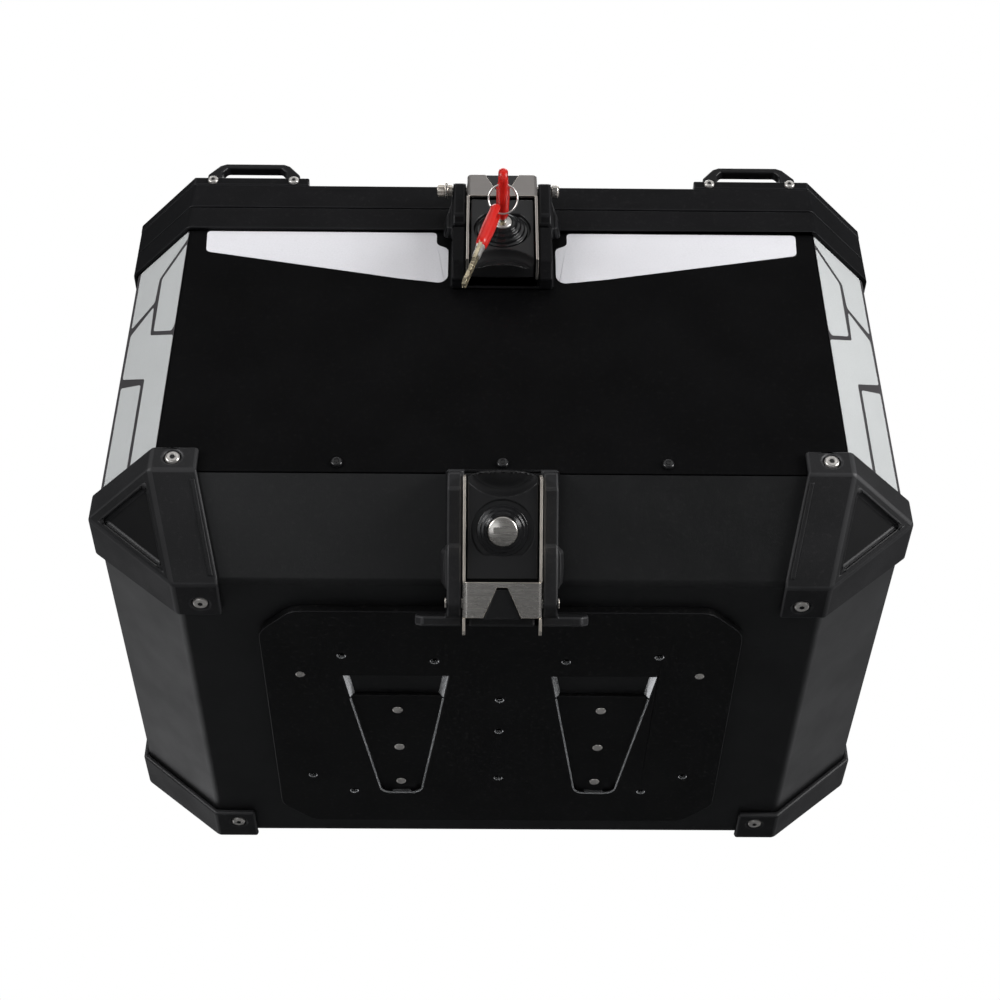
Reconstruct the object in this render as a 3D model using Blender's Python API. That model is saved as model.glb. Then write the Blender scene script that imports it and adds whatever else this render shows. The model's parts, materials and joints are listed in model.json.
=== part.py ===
"""Aluminium motorcycle top case on a quick-release mounting plate, as separate pieces.

Lengths are in millimetres and become metres when a mesh is made. +Z is up and -Y is the front.
The origin is the centre of the mounting plate's underside, which rests on the rack.
"""

import math

import bmesh
import bpy
from mathutils import Matrix, Vector

MM = 0.001
GAP = 0.3  # clearance between neighbouring pieces

# Body shell
CASE_WIDTH = 470.0
CASE_DEPTH = 358.0
CORNER_WIDE = 38.0  # plan chamfer of a vertical corner, along X
CORNER_DEEP = 40.0  # and along Y
FRONT_BEVEL = 44.0  # 45 degree slope under the front and rear walls
SIDE_BEVEL_WIDE = 50.0
SIDE_BEVEL_HIGH = 42.3
WALL = 2.0
PLATE_THICK = 5.0
FLOOR_Z = PLATE_THICK
TRAY_TOP = 49.0
UPSTAND_LOW = 47.2
UPSTAND_TOP = 66.0
WALL_TOP = 268.5

# Rim on the body and parts of the lid
TRIM_PROUD = 3.0
RIM_LOW = 252.0
RIM_TOP = 271.0
BAND_LOW = 272.0
BAND_TOP = 293.0
CAP_TOP = 300.5
CAP_FRONT_X = 124.5  # inner end of a corner cap on the front and rear walls
CAP_SIDE_Y = 85.0
LID_TOP = 318.0
LID_SLOPE_WIDE = 30.0
LID_SHEET = 1.5

# Tie-down handles
HANDLE_IN = 131.0
HANDLE_OUT = 190.8
HANDLE_TOP = 316.7
HANDLE_BAR = 4.2
HANDLE_FOOT = 9.5
HANDLE_THICK = 7.0

# Mounting plate
PLATE_HALF_X = 141.0
PLATE_HALF_Y = 114.5
PLATE_CUT = 20.0
POCKET_X = 62.5
POCKET_FRONT = -51.0
POCKET_BACK = 80.5
POCKET_HALF_FRONT = 32.0
POCKET_HALF_BACK = 13.0
CHEEK_WIDE = 4.2
PAD_FRONT = -27.0
PAD_LOW = 2.5
HOLE_R = 2.75

# Corner protectors and their screws
GUARD_THICK = 4.0
GUARD_TOP = 64.5
GUARD_WALL_X = 172.3
GUARD_FOOT_X = 160.5
GUARD_SIDE_Y = 109.0
GUARD_RECESS = 2.4
GUARD_RECESS_SPAN = 0.69  # recess triangle against the whole corner facet
SCREW_WALL = (186.5, 57.0)
SCREW_FOOT = (172.0, 119.5)
SEAM_SCREW_X = 94.0
SEAM_SCREW_Z = 56.5

# Rear hinges
HINGE_X = 110.0
HINGE_HALF = 30.0
HINGE_Y = 188.0
HINGE_Z = 271.8
KNUCKLE_R = 4.2
KNUCKLE_HALF = 10.0
LEAF_THICK = 2.5

# Latches, in a frame of their own: x across, u from the finger end to the hinge end, h outwards
UPPER_LATCH_Z = 196.6
LOWER_LATCH_RUN = -5.0  # where u = 0 lies along the front slope, from its top edge
PIVOT_U = 76.0
PIVOT_H = 17.0
PIN_R = 3.0
PIN_HOLE_R = 3.3
LEVER_HALF = 19.5
LEVER_TOP = 22.0
DISH_U = -10.2  # the finger dish is a groove turned about this point, ahead of the lever's nose
BAIL_IN = 20.5
BAIL_OUT = 22.1
CHEEK_IN = 22.8
CHEEK_OUT = 31.0
UPPER_WING = ((30, 79), (34.5, 68), (37, 57), (37, 47), (35.6, 45), (30, 45))
LOWER_WING = ((30, 71), (32, 70), (34.6, 66), (35.2, 56), (34.8, 48), (32, 45.5), (30, 45))
LOCK_U = 35.0
LOCK_R = {"upper": 5.9, "lower": 8.3}
LOCK_FACE_H = 28.0

# Keys
GRIP_LONG = 38.0
GRIP_HALF = 5.4
GRIP_THICK = 6.4
GRIP_START_H = 30.0
GRIP_SLOT = (1.2, 13.5)  # the ring's slot, from the grip's far end
RING_IN_FIRST = 11.0  # where the ring's wire passes through each grip, from its far end
RING_IN_SECOND = 4.2
GRIP_SLOT_HALF = 3.5
BLADE_THICK = 2.0
BLADE_HALF = 3.6
BLADE_IN_GRIP = 12.0
RING_R = 8.8
RING_WIRE = 0.8
RING_LEAN = math.radians(41.0)
SECOND_KEY_TURN = math.radians(30.0)  # round the ring from its lowest point
SECOND_KEY_LEAN = math.radians(16.0)
SECOND_BLADE = 34.0

FINISHES = {
    "black_powder_coat": ((0.012, 0.012, 0.014), 0.5, 0.6),
    "black_plastic": ((0.02, 0.02, 0.022), 0.6, 0.0),
    "black_gloss": ((0.012, 0.012, 0.013), 0.25, 0.0),
    "stainless_steel": ((0.62, 0.6, 0.57), 0.3, 1.0),
    "nickel_plate": ((0.7, 0.69, 0.66), 0.25, 1.0),
    "red_plastic": ((0.62, 0.01, 0.02), 0.2, 0.0),
    "seal_rubber": ((0.015, 0.015, 0.015), 0.8, 0.0),
}
FRONT_REAR = ((-1, "front"), (1, "rear"))
LEFT_RIGHT = ((-1, "left"), (1, "right"))


def clear_scene():
    for thing in list(bpy.data.objects):
        bpy.data.objects.remove(thing)


# ---- solids ----


def add_object(name, shape):
    """The bmesh as a linked object, its faces pointing out and its gentle edges smooth."""
    bmesh.ops.recalc_face_normals(shape, faces=shape.faces)
    mesh = bpy.data.meshes.new(name)
    shape.to_mesh(mesh)
    shape.free()
    mesh.shade_smooth()
    mesh.set_sharp_from_angle(angle=math.radians(32))
    thing = bpy.data.objects.new(name, mesh)
    bpy.context.scene.collection.objects.link(thing)
    return thing


def skin(name, loops, closed=False, at=Matrix()):
    """A solid through loops of points: capped at both ends, or with the last loop joined to the first."""
    shape = bmesh.new()
    rings = [[shape.verts.new((at @ Vector(point)) * MM) for point in loop] for loop in loops]
    pairs = list(zip(rings, rings[1:]))
    if closed:
        pairs.append((rings[-1], rings[0]))
    else:
        shape.faces.new(rings[0])
        shape.faces.new(rings[-1])
    for low, high in pairs:
        for i in range(len(low)):
            j = (i + 1) % len(low)
            shape.faces.new((low[i], low[j], high[j], high[i]))
    return add_object(name, shape)


def hull(name, points, at=Matrix()):
    """The convex solid round the points."""
    shape = bmesh.new()
    for point in points:
        shape.verts.new((at @ Vector(point)) * MM)
    found = bmesh.ops.convex_hull(shape, input=shape.verts)
    spare = set(found["geom_interior"] + found["geom_unused"])
    inner = [item for item in spare if isinstance(item, bmesh.types.BMVert)]
    bmesh.ops.delete(shape, geom=inner, context="VERTS")
    return add_object(name, shape)


def prism(name, outline, low, high, axis="Z", at=Matrix()):
    """An outline swept from low to high along X, Y or Z; the outline gives the other two, in order."""
    place = {
        "X": lambda a, b, c: (c, a, b),
        "Y": lambda a, b, c: (a, c, b),
        "Z": lambda a, b, c: (a, b, c),
    }[axis]
    return skin(name, [[place(a, b, end) for a, b in outline] for end in (low, high)], at=at)


def block(name, low, high, at=Matrix()):
    outline = [(low[0], low[1]), (high[0], low[1]), (high[0], high[1]), (low[0], high[1])]
    return prism(name, outline, low[2], high[2], at=at)


def turned(name, profile, base, axis, steps=16, closed=False, at=Matrix()):
    """A profile of (radius, distance along the axis) turned about the axis through base."""
    spin = Vector((0, 0, 1)).rotation_difference(Vector(axis)).to_matrix().to_4x4()
    turn = at @ Matrix.Translation(base) @ spin
    angles = [2 * math.pi * i / steps for i in range(steps)]
    loops = [[(r * math.cos(a), r * math.sin(a), along) for a in angles] for r, along in profile]
    return skin(name, loops, closed, at=turn)


def rounded(corners, radius, steps=4):
    """The outline with each corner replaced by a short curve that starts radius away from it."""
    outline = []
    for i, corner in enumerate(corners):
        here = Vector(corner)
        back = here + (Vector(corners[i - 1]) - here).normalized() * radius
        ahead = here + (Vector(corners[(i + 1) % len(corners)]) - here).normalized() * radius
        for k in range(steps + 1):
            t = k / steps
            point = back * (1 - t) ** 2 + here * 2 * t * (1 - t) + ahead * t**2
            outline.append(tuple(point))
    return outline


def boolean(thing, other, operation):
    other.hide_render = True
    other.display_type = "WIRE"
    other.hide_set(True)
    modifier = thing.modifiers.new(other.name, "BOOLEAN")
    modifier.operation = operation
    modifier.solver = "EXACT"
    modifier.object = other
    return thing


def cut(thing, *others):
    for other in others:
        boolean(thing, other, "DIFFERENCE")
    return thing


def join(thing, *others):
    for other in others:
        boolean(thing, other, "UNION")
    return thing


def paint(thing, finish):
    colour, roughness, metallic = FINISHES[finish]
    material = bpy.data.materials.new(f"{thing.name}_{finish}")
    material.use_nodes = True
    shader = material.node_tree.nodes["Principled BSDF"]
    shader.inputs["Base Color"].default_value = (*colour, 1.0)
    shader.inputs["Roughness"].default_value = roughness
    shader.inputs["Metallic"].default_value = metallic
    thing.data.materials.clear()
    thing.data.materials.append(material)
    return thing


def pivot(name, point, parent=None):
    """An empty on a joint's axis, which the pieces that move with the joint are parented to."""
    empty = bpy.data.objects.new(name, None)
    bpy.context.scene.collection.objects.link(empty)
    empty.matrix_world = Matrix.Translation(Vector(point) * MM)
    if parent:
        keep_parent(empty, parent)
    return empty


def keep_parent(thing, parent):
    bpy.context.view_layer.update()
    thing.parent = parent
    thing.matrix_parent_inverse = parent.matrix_world.inverted()


# ---- the case's outline ----


def octagon(out, z):
    """The case's plan outline moved outwards by out, as eight points at height z."""
    edge = math.hypot(CORNER_WIDE, CORNER_DEEP)
    lean_x = CORNER_DEEP / edge
    lean_y = CORNER_WIDE / edge
    half_x = CASE_WIDTH / 2 + out
    half_y = CASE_DEPTH / 2 + out
    turn_x = CASE_WIDTH / 2 - CORNER_WIDE + out * (1 - lean_y) / lean_x
    turn_y = CASE_DEPTH / 2 - CORNER_DEEP + out * (1 - lean_x) / lean_y
    right = [(half_x, -turn_y), (half_x, turn_y), (turn_x, half_y)]
    left = [(-turn_x, half_y), (-half_x, turn_y), (-half_x, -turn_y), (-turn_x, -half_y)]
    return [(x, y, z) for x, y in [*right, *left, (turn_x, -half_y)]]


def slope_corner(out):
    """The three points of one lower corner moved outwards by out: on the floor, the side and the front."""
    slope = math.hypot(SIDE_BEVEL_WIDE, SIDE_BEVEL_HIGH)
    front_rise = out * (math.sqrt(2) - 1)
    low_x = CASE_WIDTH / 2 - SIDE_BEVEL_WIDE + out * (slope - SIDE_BEVEL_WIDE) / SIDE_BEVEL_HIGH
    low_y = CASE_DEPTH / 2 - FRONT_BEVEL + front_rise
    side_z = FLOOR_Z + SIDE_BEVEL_HIGH - out * (slope - SIDE_BEVEL_HIGH) / SIDE_BEVEL_WIDE
    front_z = FLOOR_Z + FRONT_BEVEL - front_rise
    plan = octagon(out, 0)
    side = (plan[1][0], plan[1][1], side_z)
    front = (plan[2][0], plan[2][1], front_z)
    return (low_x, low_y, FLOOR_Z - out), side, front


def case_hull(name, out, top):
    """The solid outline of the whole lower case, moved outwards by out and cut off level at top."""
    corner = [
        (sx * x, sy * y, z)
        for sx in (-1, 1)
        for sy in (-1, 1)
        for x, y, z in slope_corner(out)
    ]
    return hull(name, corner + octagon(out, top))


def ring(name, profile):
    """A band that follows the case's plan outline; the profile is (distance outwards, height)."""
    return skin(name, [octagon(out, z) for out, z in profile], closed=True)


# ---- fasteners ----


def screw(name, base, axis, head_r, head_high, long):
    """A button-head screw with a socket; base is under the head and axis points out of the head."""
    shank_r = head_r * 0.45
    socket_r = head_r * 0.36
    profile = [
        (socket_r, head_high * 0.35),
        (socket_r, head_high),
        (head_r * 0.7, head_high),
        (head_r, head_high * 0.45),
        (head_r, 0),
        (shank_r, 0),
        (shank_r, -long),
    ]
    return turned(name, profile, base, axis, steps=12)


def clearance(name, base, axis, head_r, long, counterbore):
    """What a screw needs removed: its shank's hole and, past the counterbore's depth, its head."""
    wide = head_r + 0.8
    narrow = head_r * 0.45 + GAP
    profile = [(wide, 12), (wide, -counterbore), (narrow, -counterbore), (narrow, -long)]
    return turned(name, profile, base, axis, steps=12)


# ---- body ----


def build_shell():
    """Wrap, tray and rim, with the seam screws that hold the wrap to the tray."""
    wrap_low = TRAY_TOP + GAP
    wrap = ring(
        "body_wrap",
        [(0, wrap_low), (0, WALL_TOP), (-WALL, WALL_TOP), (-WALL, wrap_low)],
    )
    tray = case_hull("bottom_tray", 0, TRAY_TOP)
    cut(tray, case_hull("tray_hollow", -WALL, TRAY_TOP + 20))
    near = -WALL - GAP
    far = near - WALL
    upstand = ring(
        "tray_upstand",
        [(near, UPSTAND_LOW), (near, UPSTAND_TOP), (far, UPSTAND_TOP), (far, UPSTAND_LOW)],
    )
    join(tray, upstand)
    inner = near - WALL - 0.2
    rim = ring(
        "body_rim",
        [
            (TRIM_PROUD, RIM_LOW),
            (TRIM_PROUD, RIM_TOP),
            (inner, RIM_TOP),
            (inner, RIM_TOP - 9),
            (near, RIM_TOP - 9),
            (near, WALL_TOP + GAP),
            (GAP, WALL_TOP + GAP),
            (GAP, RIM_LOW),
        ],
    )
    paint(wrap, "black_powder_coat")
    paint(tray, "black_powder_coat")
    paint(rim, "black_plastic")
    for i, x in enumerate((-SEAM_SCREW_X, 0, SEAM_SCREW_X)):
        base = (x, -CASE_DEPTH / 2 - GAP, SEAM_SCREW_Z)
        paint(screw(f"seam_screw_{i + 1}", base, (0, -1, 0), 3.4, 1.8, 7), "black_gloss")
        hole = turned(f"seam_hole_{i + 1}", [(1.9, 5), (1.9, -12)], base, (0, -1, 0), steps=12)
        cut(wrap, hole)
        cut(tray, hole)
    return wrap, tray


def guard_region(sx, sy):
    """What part of the lower corner a protector covers."""
    far_x = CASE_WIDTH
    outline = [
        (sx * far_x, -30),
        (sx * GUARD_FOOT_X, -30),
        (sx * GUARD_FOOT_X, FLOOR_Z),
        (sx * GUARD_WALL_X, TRAY_TOP),
        (sx * GUARD_WALL_X, GUARD_TOP + 20),
        (sx * far_x, GUARD_TOP + 20),
    ]
    return prism(
        f"guard_region_{sx}_{sy}", outline, sy * GUARD_SIDE_Y, sy * CASE_DEPTH, axis="Y"
    )


def guard_recess(sx, sy):
    """The triangular recess in the protector's corner facet."""
    corner = [Vector((sx * x, sy * y, z)) for x, y, z in slope_corner(GUARD_THICK)]
    centre = sum(corner, Vector()) / 3
    normal = (corner[1] - corner[0]).cross(corner[2] - corner[0]).normalized()
    if normal.z > 0:
        normal = -normal
    ends = [centre + (point - centre) * GUARD_RECESS_SPAN for point in corner]
    deep = [point - normal * GUARD_RECESS for point in ends]
    out = [centre + (point - centre) * 1.12 + normal * 5 for point in ends]
    return hull(f"guard_recess_{sx}_{sy}", deep + out)


def build_protectors(wrap, tray):
    """The four moulded corner protectors and their screws."""
    inside = case_hull("guard_inside", GAP, GUARD_TOP + 30)
    for sy, end in FRONT_REAR:
        for sx, side in LEFT_RIGHT:
            label = f"{end}_{side}"
            guard = case_hull(f"corner_protector_{label}", GUARD_THICK, GUARD_TOP)
            boolean(guard, guard_region(sx, sy), "INTERSECT")
            cut(guard, inside, guard_recess(sx, sy))
            wall_y = sy * (CASE_DEPTH / 2 + GUARD_THICK - 2)
            foot_z = FLOOR_Z - GUARD_THICK + 2
            spots = (
                ("upper", (sx * SCREW_WALL[0], wall_y, SCREW_WALL[1]), (0, sy, 0)),
                ("lower", (sx * SCREW_FOOT[0], sy * SCREW_FOOT[1], foot_z), (0, 0, -1)),
            )
            for level, base, axis in spots:
                name = f"protector_screw_{label}_{level}"
                paint(screw(name, base, axis, 4.3, 2.3, 7), "nickel_plate")
                room = clearance(f"room_{label}_{level}", base, axis, 4.3, 12, GAP)
                hole = turned(
                    f"hole_{label}_{level}", [(2.3, -1), (2.3, -12)], base, axis, steps=12
                )
                cut(guard, room)
                cut(wrap if level == "upper" else tray, hole)
                if level == "upper":
                    cut(tray, hole)
            paint(guard, "black_plastic")


def pocket(side, grow, front):
    """Outline of a V pocket in the plate, grown by grow and starting at y = front."""
    share = (front - POCKET_FRONT) / (POCKET_BACK - POCKET_FRONT)
    half = POCKET_HALF_FRONT + (POCKET_HALF_BACK - POCKET_HALF_FRONT) * share + grow
    back = POCKET_HALF_BACK + grow
    centre = side * POCKET_X
    corners = [
        (centre - half, front),
        (centre + half, front),
        (centre + back, POCKET_BACK + grow),
        (centre - back, POCKET_BACK + grow),
    ]
    steps = 4
    curved = rounded(corners, 7, steps)
    return corners[:2] + curved[2 * (steps + 1) :]


def pocket_mouth(side, top):
    """A pocket's open front part, whose two sides lean inwards towards the top of the plate."""
    share = (PAD_FRONT - POCKET_FRONT) / (POCKET_BACK - POCKET_FRONT)
    half_back = POCKET_HALF_FRONT + (POCKET_HALF_BACK - POCKET_HALF_FRONT) * share
    points = []
    for y, half in ((POCKET_FRONT, POCKET_HALF_FRONT), (PAD_FRONT + 0.2, half_back)):
        for sign in (-1, 1):
            for z, inset in ((-1, 0), (0.6, 0), (top, CHEEK_WIDE), (top + 1, CHEEK_WIDE)):
                points.append((side * POCKET_X + sign * (half - inset), y, z))
    return hull(f"pocket_mouth_{side}", points)


def build_plate():
    """The mounting plate with its V pockets, the pads in them, and its small holes."""
    corners = []
    for sx, sy in ((1, -1), (1, 1), (-1, 1), (-1, -1)):
        near = (sx * PLATE_HALF_X, sy * (PLATE_HALF_Y - PLATE_CUT))
        far = (sx * (PLATE_HALF_X - PLATE_CUT), sy * PLATE_HALF_Y)
        corners += [near, far] if sx == sy else [far, near]
    top = PLATE_THICK - GAP
    plate = prism("mounting_plate", rounded(corners, 6, steps=3), 0, top)
    for side, word in LEFT_RIGHT:
        seat = prism(f"pocket_{word}", pocket(side, 0, PAD_FRONT - GAP), -2, top + 2)
        cut(plate, seat, pocket_mouth(side, top))
        pad = prism(f"pocket_pad_{word}", pocket(side, -0.5, PAD_FRONT), PAD_LOW, top)
        paint(pad, "black_powder_coat")
    mirrored = ((94, -71), (119.5, -52), (39, -66), (93, 78), (118.7, 59.5))
    middle = ((0, -26), (0, 8), (0, 62))
    places = [(side * x, y) for x, y in mirrored for side in (-1, 1)] + list(middle)
    for i, (x, y) in enumerate(places):
        hole = turned(f"plate_hole_{i}", [(HOLE_R, -2), (HOLE_R, 8)], (x, y, 0), (0, 0, 1), steps=10)
        cut(plate, hole)
    paint(plate, "black_powder_coat")


# ---- lid ----


def build_lid():
    """Band, seal and aluminium shell of the lid."""
    flange = -7.0
    band = ring(
        "lid_band",
        [
            (TRIM_PROUD, BAND_LOW),
            (TRIM_PROUD, BAND_TOP),
            (GAP, BAND_TOP),
            (GAP, BAND_LOW + 4.7),
            (flange, BAND_LOW + 4.7),
            (flange, BAND_LOW + 2),
            (GAP, BAND_LOW + 2),
            (GAP, BAND_LOW),
        ],
    )
    low = RIM_TOP + GAP
    high = BAND_LOW + 2 - GAP
    seal = ring("lid_seal", [(-0.5, low), (-0.5, high), (-5.5, high), (-5.5, low)])
    skirt = BAND_LOW + 5
    shell = skin(
        "lid_shell",
        [
            octagon(-LID_SLOPE_WIDE, LID_TOP),
            octagon(0, BAND_TOP),
            octagon(0, skirt),
            octagon(-LID_SHEET, skirt),
            octagon(-LID_SHEET, BAND_TOP - 0.7),
            octagon(-LID_SLOPE_WIDE - 0.5, LID_TOP - LID_SHEET),
        ],
    )
    paint(shell, "black_powder_coat")
    paint(band, "black_plastic")
    paint(seal, "seal_rubber")
    return [band, seal, shell]


def corner_cap(name, sx, sy):
    """A raised corner cap on the lid band, following the corner from front wall to side wall."""
    section = (
        (TRIM_PROUD, BAND_TOP + GAP),
        (GAP, BAND_TOP + GAP),
        (-7.4, CAP_TOP),
        (TRIM_PROUD, CAP_TOP),
    )
    stations = [[], [], [], []]
    for out, z in section:
        plan = octagon(out, z)
        side, front = plan[1], plan[2]
        stations[0].append((sx * CAP_FRONT_X, sy * front[1], z))
        stations[1].append((sx * front[0], sy * front[1], z))
        stations[2].append((sx * side[0], sy * side[1], z))
        stations[3].append((sx * side[0], sy * CAP_SIDE_Y, z))
    return skin(name, stations)


def handle(name, sx, sy):
    """An arched tie-down handle standing on a corner cap."""
    low = CAP_TOP + GAP
    under = HANDLE_TOP - HANDLE_BAR
    outline = [
        (HANDLE_OUT, low),
        (HANDLE_OUT, low + 5),
        (HANDLE_OUT - 7, HANDLE_TOP - 2),
        (HANDLE_OUT - 11, HANDLE_TOP),
        (HANDLE_IN + 11, HANDLE_TOP),
        (HANDLE_IN + 7, HANDLE_TOP - 2),
        (HANDLE_IN, low + 5),
        (HANDLE_IN, low),
        (HANDLE_IN + HANDLE_FOOT, low),
        (HANDLE_IN + HANDLE_FOOT, under - 4),
        (HANDLE_IN + HANDLE_FOOT + 3, under),
        (HANDLE_OUT - HANDLE_FOOT - 3, under),
        (HANDLE_OUT - HANDLE_FOOT, under - 4),
        (HANDLE_OUT - HANDLE_FOOT, low),
    ]
    front = CASE_DEPTH / 2 + 1
    mirrored = [(sx * x, z) for x, z in outline]
    return prism(name, mirrored, sy * front, sy * (front - HANDLE_THICK), axis="Y")


def build_lid_corners():
    pieces = []
    for sy, end in FRONT_REAR:
        for sx, side in LEFT_RIGHT:
            cap = corner_cap(f"lid_corner_{end}_{side}", sx, sy)
            loop = handle(f"tie_down_handle_{end}_{side}", sx, sy)
            pieces += [paint(cap, "black_plastic"), paint(loop, "black_powder_coat")]
    return pieces


def knuckle(name, x_low, x_high):
    """One closed barrel of a hinge, to be joined to its leaf."""
    return turned(
        name, [(KNUCKLE_R, 0), (KNUCKLE_R, x_high - x_low)], (x_low, HINGE_Y, HINGE_Z), (1, 0, 0)
    )


def build_hinges():
    """Two rear hinges: a body leaf, a lid leaf and a pin each. Returns the lid leaves."""
    near = CASE_DEPTH / 2 + TRIM_PROUD + GAP
    far = near + LEAF_THICK
    inner = KNUCKLE_HALF - 0.4
    lid_leaves = []
    for side, word in LEFT_RIGHT:
        x = side * HINGE_X
        low, high = x - HINGE_HALF, x + HINGE_HALF
        body_leaf = block(f"hinge_body_leaf_{word}", (low, near, 250), (high, far, 267))
        for i, (start, stop) in enumerate(((low, x - KNUCKLE_HALF), (x + KNUCKLE_HALF, high))):
            tab = block(f"body_tab_{word}_{i}", (start, near, 265), (stop, far + 1, HINGE_Z))
            join(body_leaf, tab, knuckle(f"body_knuckle_{word}_{i}", start, stop))
        lid_leaf = block(f"hinge_lid_leaf_{word}", (low, near, 277), (high, far, 291))
        tab = block(f"lid_tab_{word}", (x - inner, near, HINGE_Z), (x + inner, far + 1, 279))
        join(lid_leaf, tab, knuckle(f"lid_knuckle_{word}", x - inner, x + inner))
        bore = turned(
            f"hinge_bore_{word}",
            [(2.25, -5), (2.25, 2 * HINGE_HALF + 5)],
            (low, HINGE_Y, HINGE_Z),
            (1, 0, 0),
        )
        cut(body_leaf, bore)
        cut(lid_leaf, bore)
        pin = turned(
            f"hinge_pin_{word}",
            [(3.4, -2), (3.4, -0.5), (2.1, -0.5), (2.1, 2 * HINGE_HALF + 0.5)],
            (low, HINGE_Y, HINGE_Z),
            (1, 0, 0),
        )
        paint(body_leaf, "black_powder_coat")
        paint(lid_leaf, "black_powder_coat")
        paint(pin, "stainless_steel")
        lid_leaves.append(lid_leaf)
    return lid_leaves


# ---- latches ----


def upper_frame():
    return Matrix.Translation((0, -CASE_DEPTH / 2, UPPER_LATCH_Z)) @ Matrix.Rotation(
        math.pi / 2, 4, "X"
    )


def lower_frame():
    run = math.sqrt(0.5)
    top_edge = Vector((0, -CASE_DEPTH / 2, FLOOR_Z + FRONT_BEVEL))
    along = Vector((0, run, -run))
    out = Vector((0, -run, -run))
    turn = Matrix((along.cross(out), along, out)).transposed().to_4x4()
    return Matrix.Translation(top_edge + along * LOWER_LATCH_RUN) @ turn


def pivot_hole(name, at):
    return turned(
        name, [(PIN_HOLE_R, 0), (PIN_HOLE_R, 120)], (-60, PIVOT_U, PIVOT_H), (1, 0, 0), at=at
    )


def side_plates(name, outline, near, far, at):
    """A pair of plates, mirrored left and right, with the outline given in (u, h)."""
    return [
        prism(f"{name}_{side}", outline, side * near, side * far, axis="X", at=at)
        for side in (-1, 1)
    ]


def wings(name, outline, low, high, at):
    """A pair of swellings on a latch's cheeks, outlined in (x, u) and narrower at the top."""
    made = []
    for side in (-1, 1):
        foot = [(side * x, u, low) for x, u in outline]
        top = [(side * (x - 2.2 if x > 31 else x), u, high) for x, u in outline]
        made.append(skin(f"{name}_{side}", [foot, top], at=at))
    return made


def build_bail(label, at, hooked):
    """The steel strap: two flanges round the pin and a cross plate with a V notch."""
    tip = [(94, 14), (94, 19), (91, 24)] if hooked else [(84, 24)]
    outline = [(5, 7), (62, 7), (72, 10.5), (84, 14), *tip, (5, 24)]
    low, high = PIVOT_U - 12.4, PIVOT_U + 7.6
    wide = BAIL_OUT - 0.6
    notch = [(11, high), (3, low + 3), (-3, low + 3), (-11, high)]
    plate_outline = [(-wide, high), (-wide, low), (wide, low), (wide, high), *notch]
    bail = prism(f"{label}_latch_bail", plate_outline, 21.8, 23.6, at=at)
    join(bail, *side_plates(f"{label}_bail_flange", outline, BAIL_IN, BAIL_OUT, at))
    cut(bail, pivot_hole(f"{label}_bail_hole", at))
    return paint(bail, "stainless_steel")


def build_lever(label, at):
    """The black lever with an arched, dished finger end, and the collar round the lock."""
    half_nose = [(9, 2.0), (16.5, 3.2), (LEVER_HALF, 5.5)]
    nose = [(-x, u) for x, u in half_nose[::-1]] + half_nose
    outline = [(LEVER_HALF, 62), (-LEVER_HALF, 62), *nose]
    lever = prism(f"{label}_latch_lever", outline, 6, LEVER_TOP, at=at)
    under = [(-2, 4), (9, 4), (9, 6.2), (1, 12), (-2, 12)]
    cut(lever, prism(f"{label}_lever_under", under, -30, 30, axis="X", at=at))
    floor = [(11.5, LEVER_TOP + 0.4), (15, 20.4), (20, 18.2), (23.5, 17.4), (25.4, 18.8)]
    dish = [*floor, (26.4, LEVER_TOP + 0.4), (26.4, 30), (11.5, 30)]
    groove = turned(
        f"{label}_lever_dish", dish, (0, DISH_U, 0), (0, 0, 1), 48, closed=True, at=at
    )
    cut(lever, groove)
    hole_r = LOCK_R[label] + 0.4
    face_r = hole_r + (2.6 if label == "upper" else 1.4)
    hole = turned(
        f"{label}_lock_hole", [(hole_r, 0), (hole_r, 40)], (0, LOCK_U, 0), (0, 0, 1), 24, at=at
    )
    cut(lever, hole)
    collar = turned(
        f"{label}_lock_collar",
        [
            (hole_r, LEVER_TOP + GAP),
            (14.5, LEVER_TOP + GAP),
            (14.5, 23.3),
            (13.2, 24.2),
            (face_r + 1.6, 24.6),
            (face_r, 26.8),
            (hole_r, 27.2),
        ],
        (0, LOCK_U, 0),
        (0, 0, 1),
        steps=24,
        closed=True,
        at=at,
    )
    return [paint(lever, "black_gloss"), paint(collar, "black_gloss")]


def build_lock(label, at):
    """The lock cylinder with its keyway, and the cam under it."""
    radius = LOCK_R[label]
    cylinder = turned(
        f"{label}_lock_cylinder",
        [(radius - 1, 5.4), (radius, 6.4), (radius, 27.4), (radius - 0.6, LOCK_FACE_H)],
        (0, LOCK_U, 0),
        (0, 0, 1),
        steps=24,
        at=at,
    )
    keyway = block(
        f"{label}_keyway", (-1.4, LOCK_U - 4.2, 6.4), (1.4, LOCK_U + 4.2, LOCK_FACE_H + 2), at=at
    )
    cut(cylinder, keyway)
    cam_outline = rounded(
        [(-6, LOCK_U - 6), (13, LOCK_U - 4), (13, LOCK_U + 4), (-6, LOCK_U + 6)], 3, steps=3
    )
    cam = prism(f"{label}_lock_cam", cam_outline, 3.0, 5.1, at=at)
    return [paint(cylinder, "nickel_plate"), paint(cam, "stainless_steel")]


def build_upper_base(at):
    """The seat on the front wall that the upper lever closes over."""
    base = block("upper_latch_base", (-CHEEK_OUT, 3, GAP), (CHEEK_OUT, 44, 2.4), at=at)
    outline = [(3, GAP + 0.4), (43.6, GAP + 0.4), (43.6, 16), (12, 16), (3, 9)]
    join(base, *side_plates("upper_base_cheek", outline, CHEEK_IN, CHEEK_OUT - 0.2, at))
    return paint(base, "black_gloss")


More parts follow.
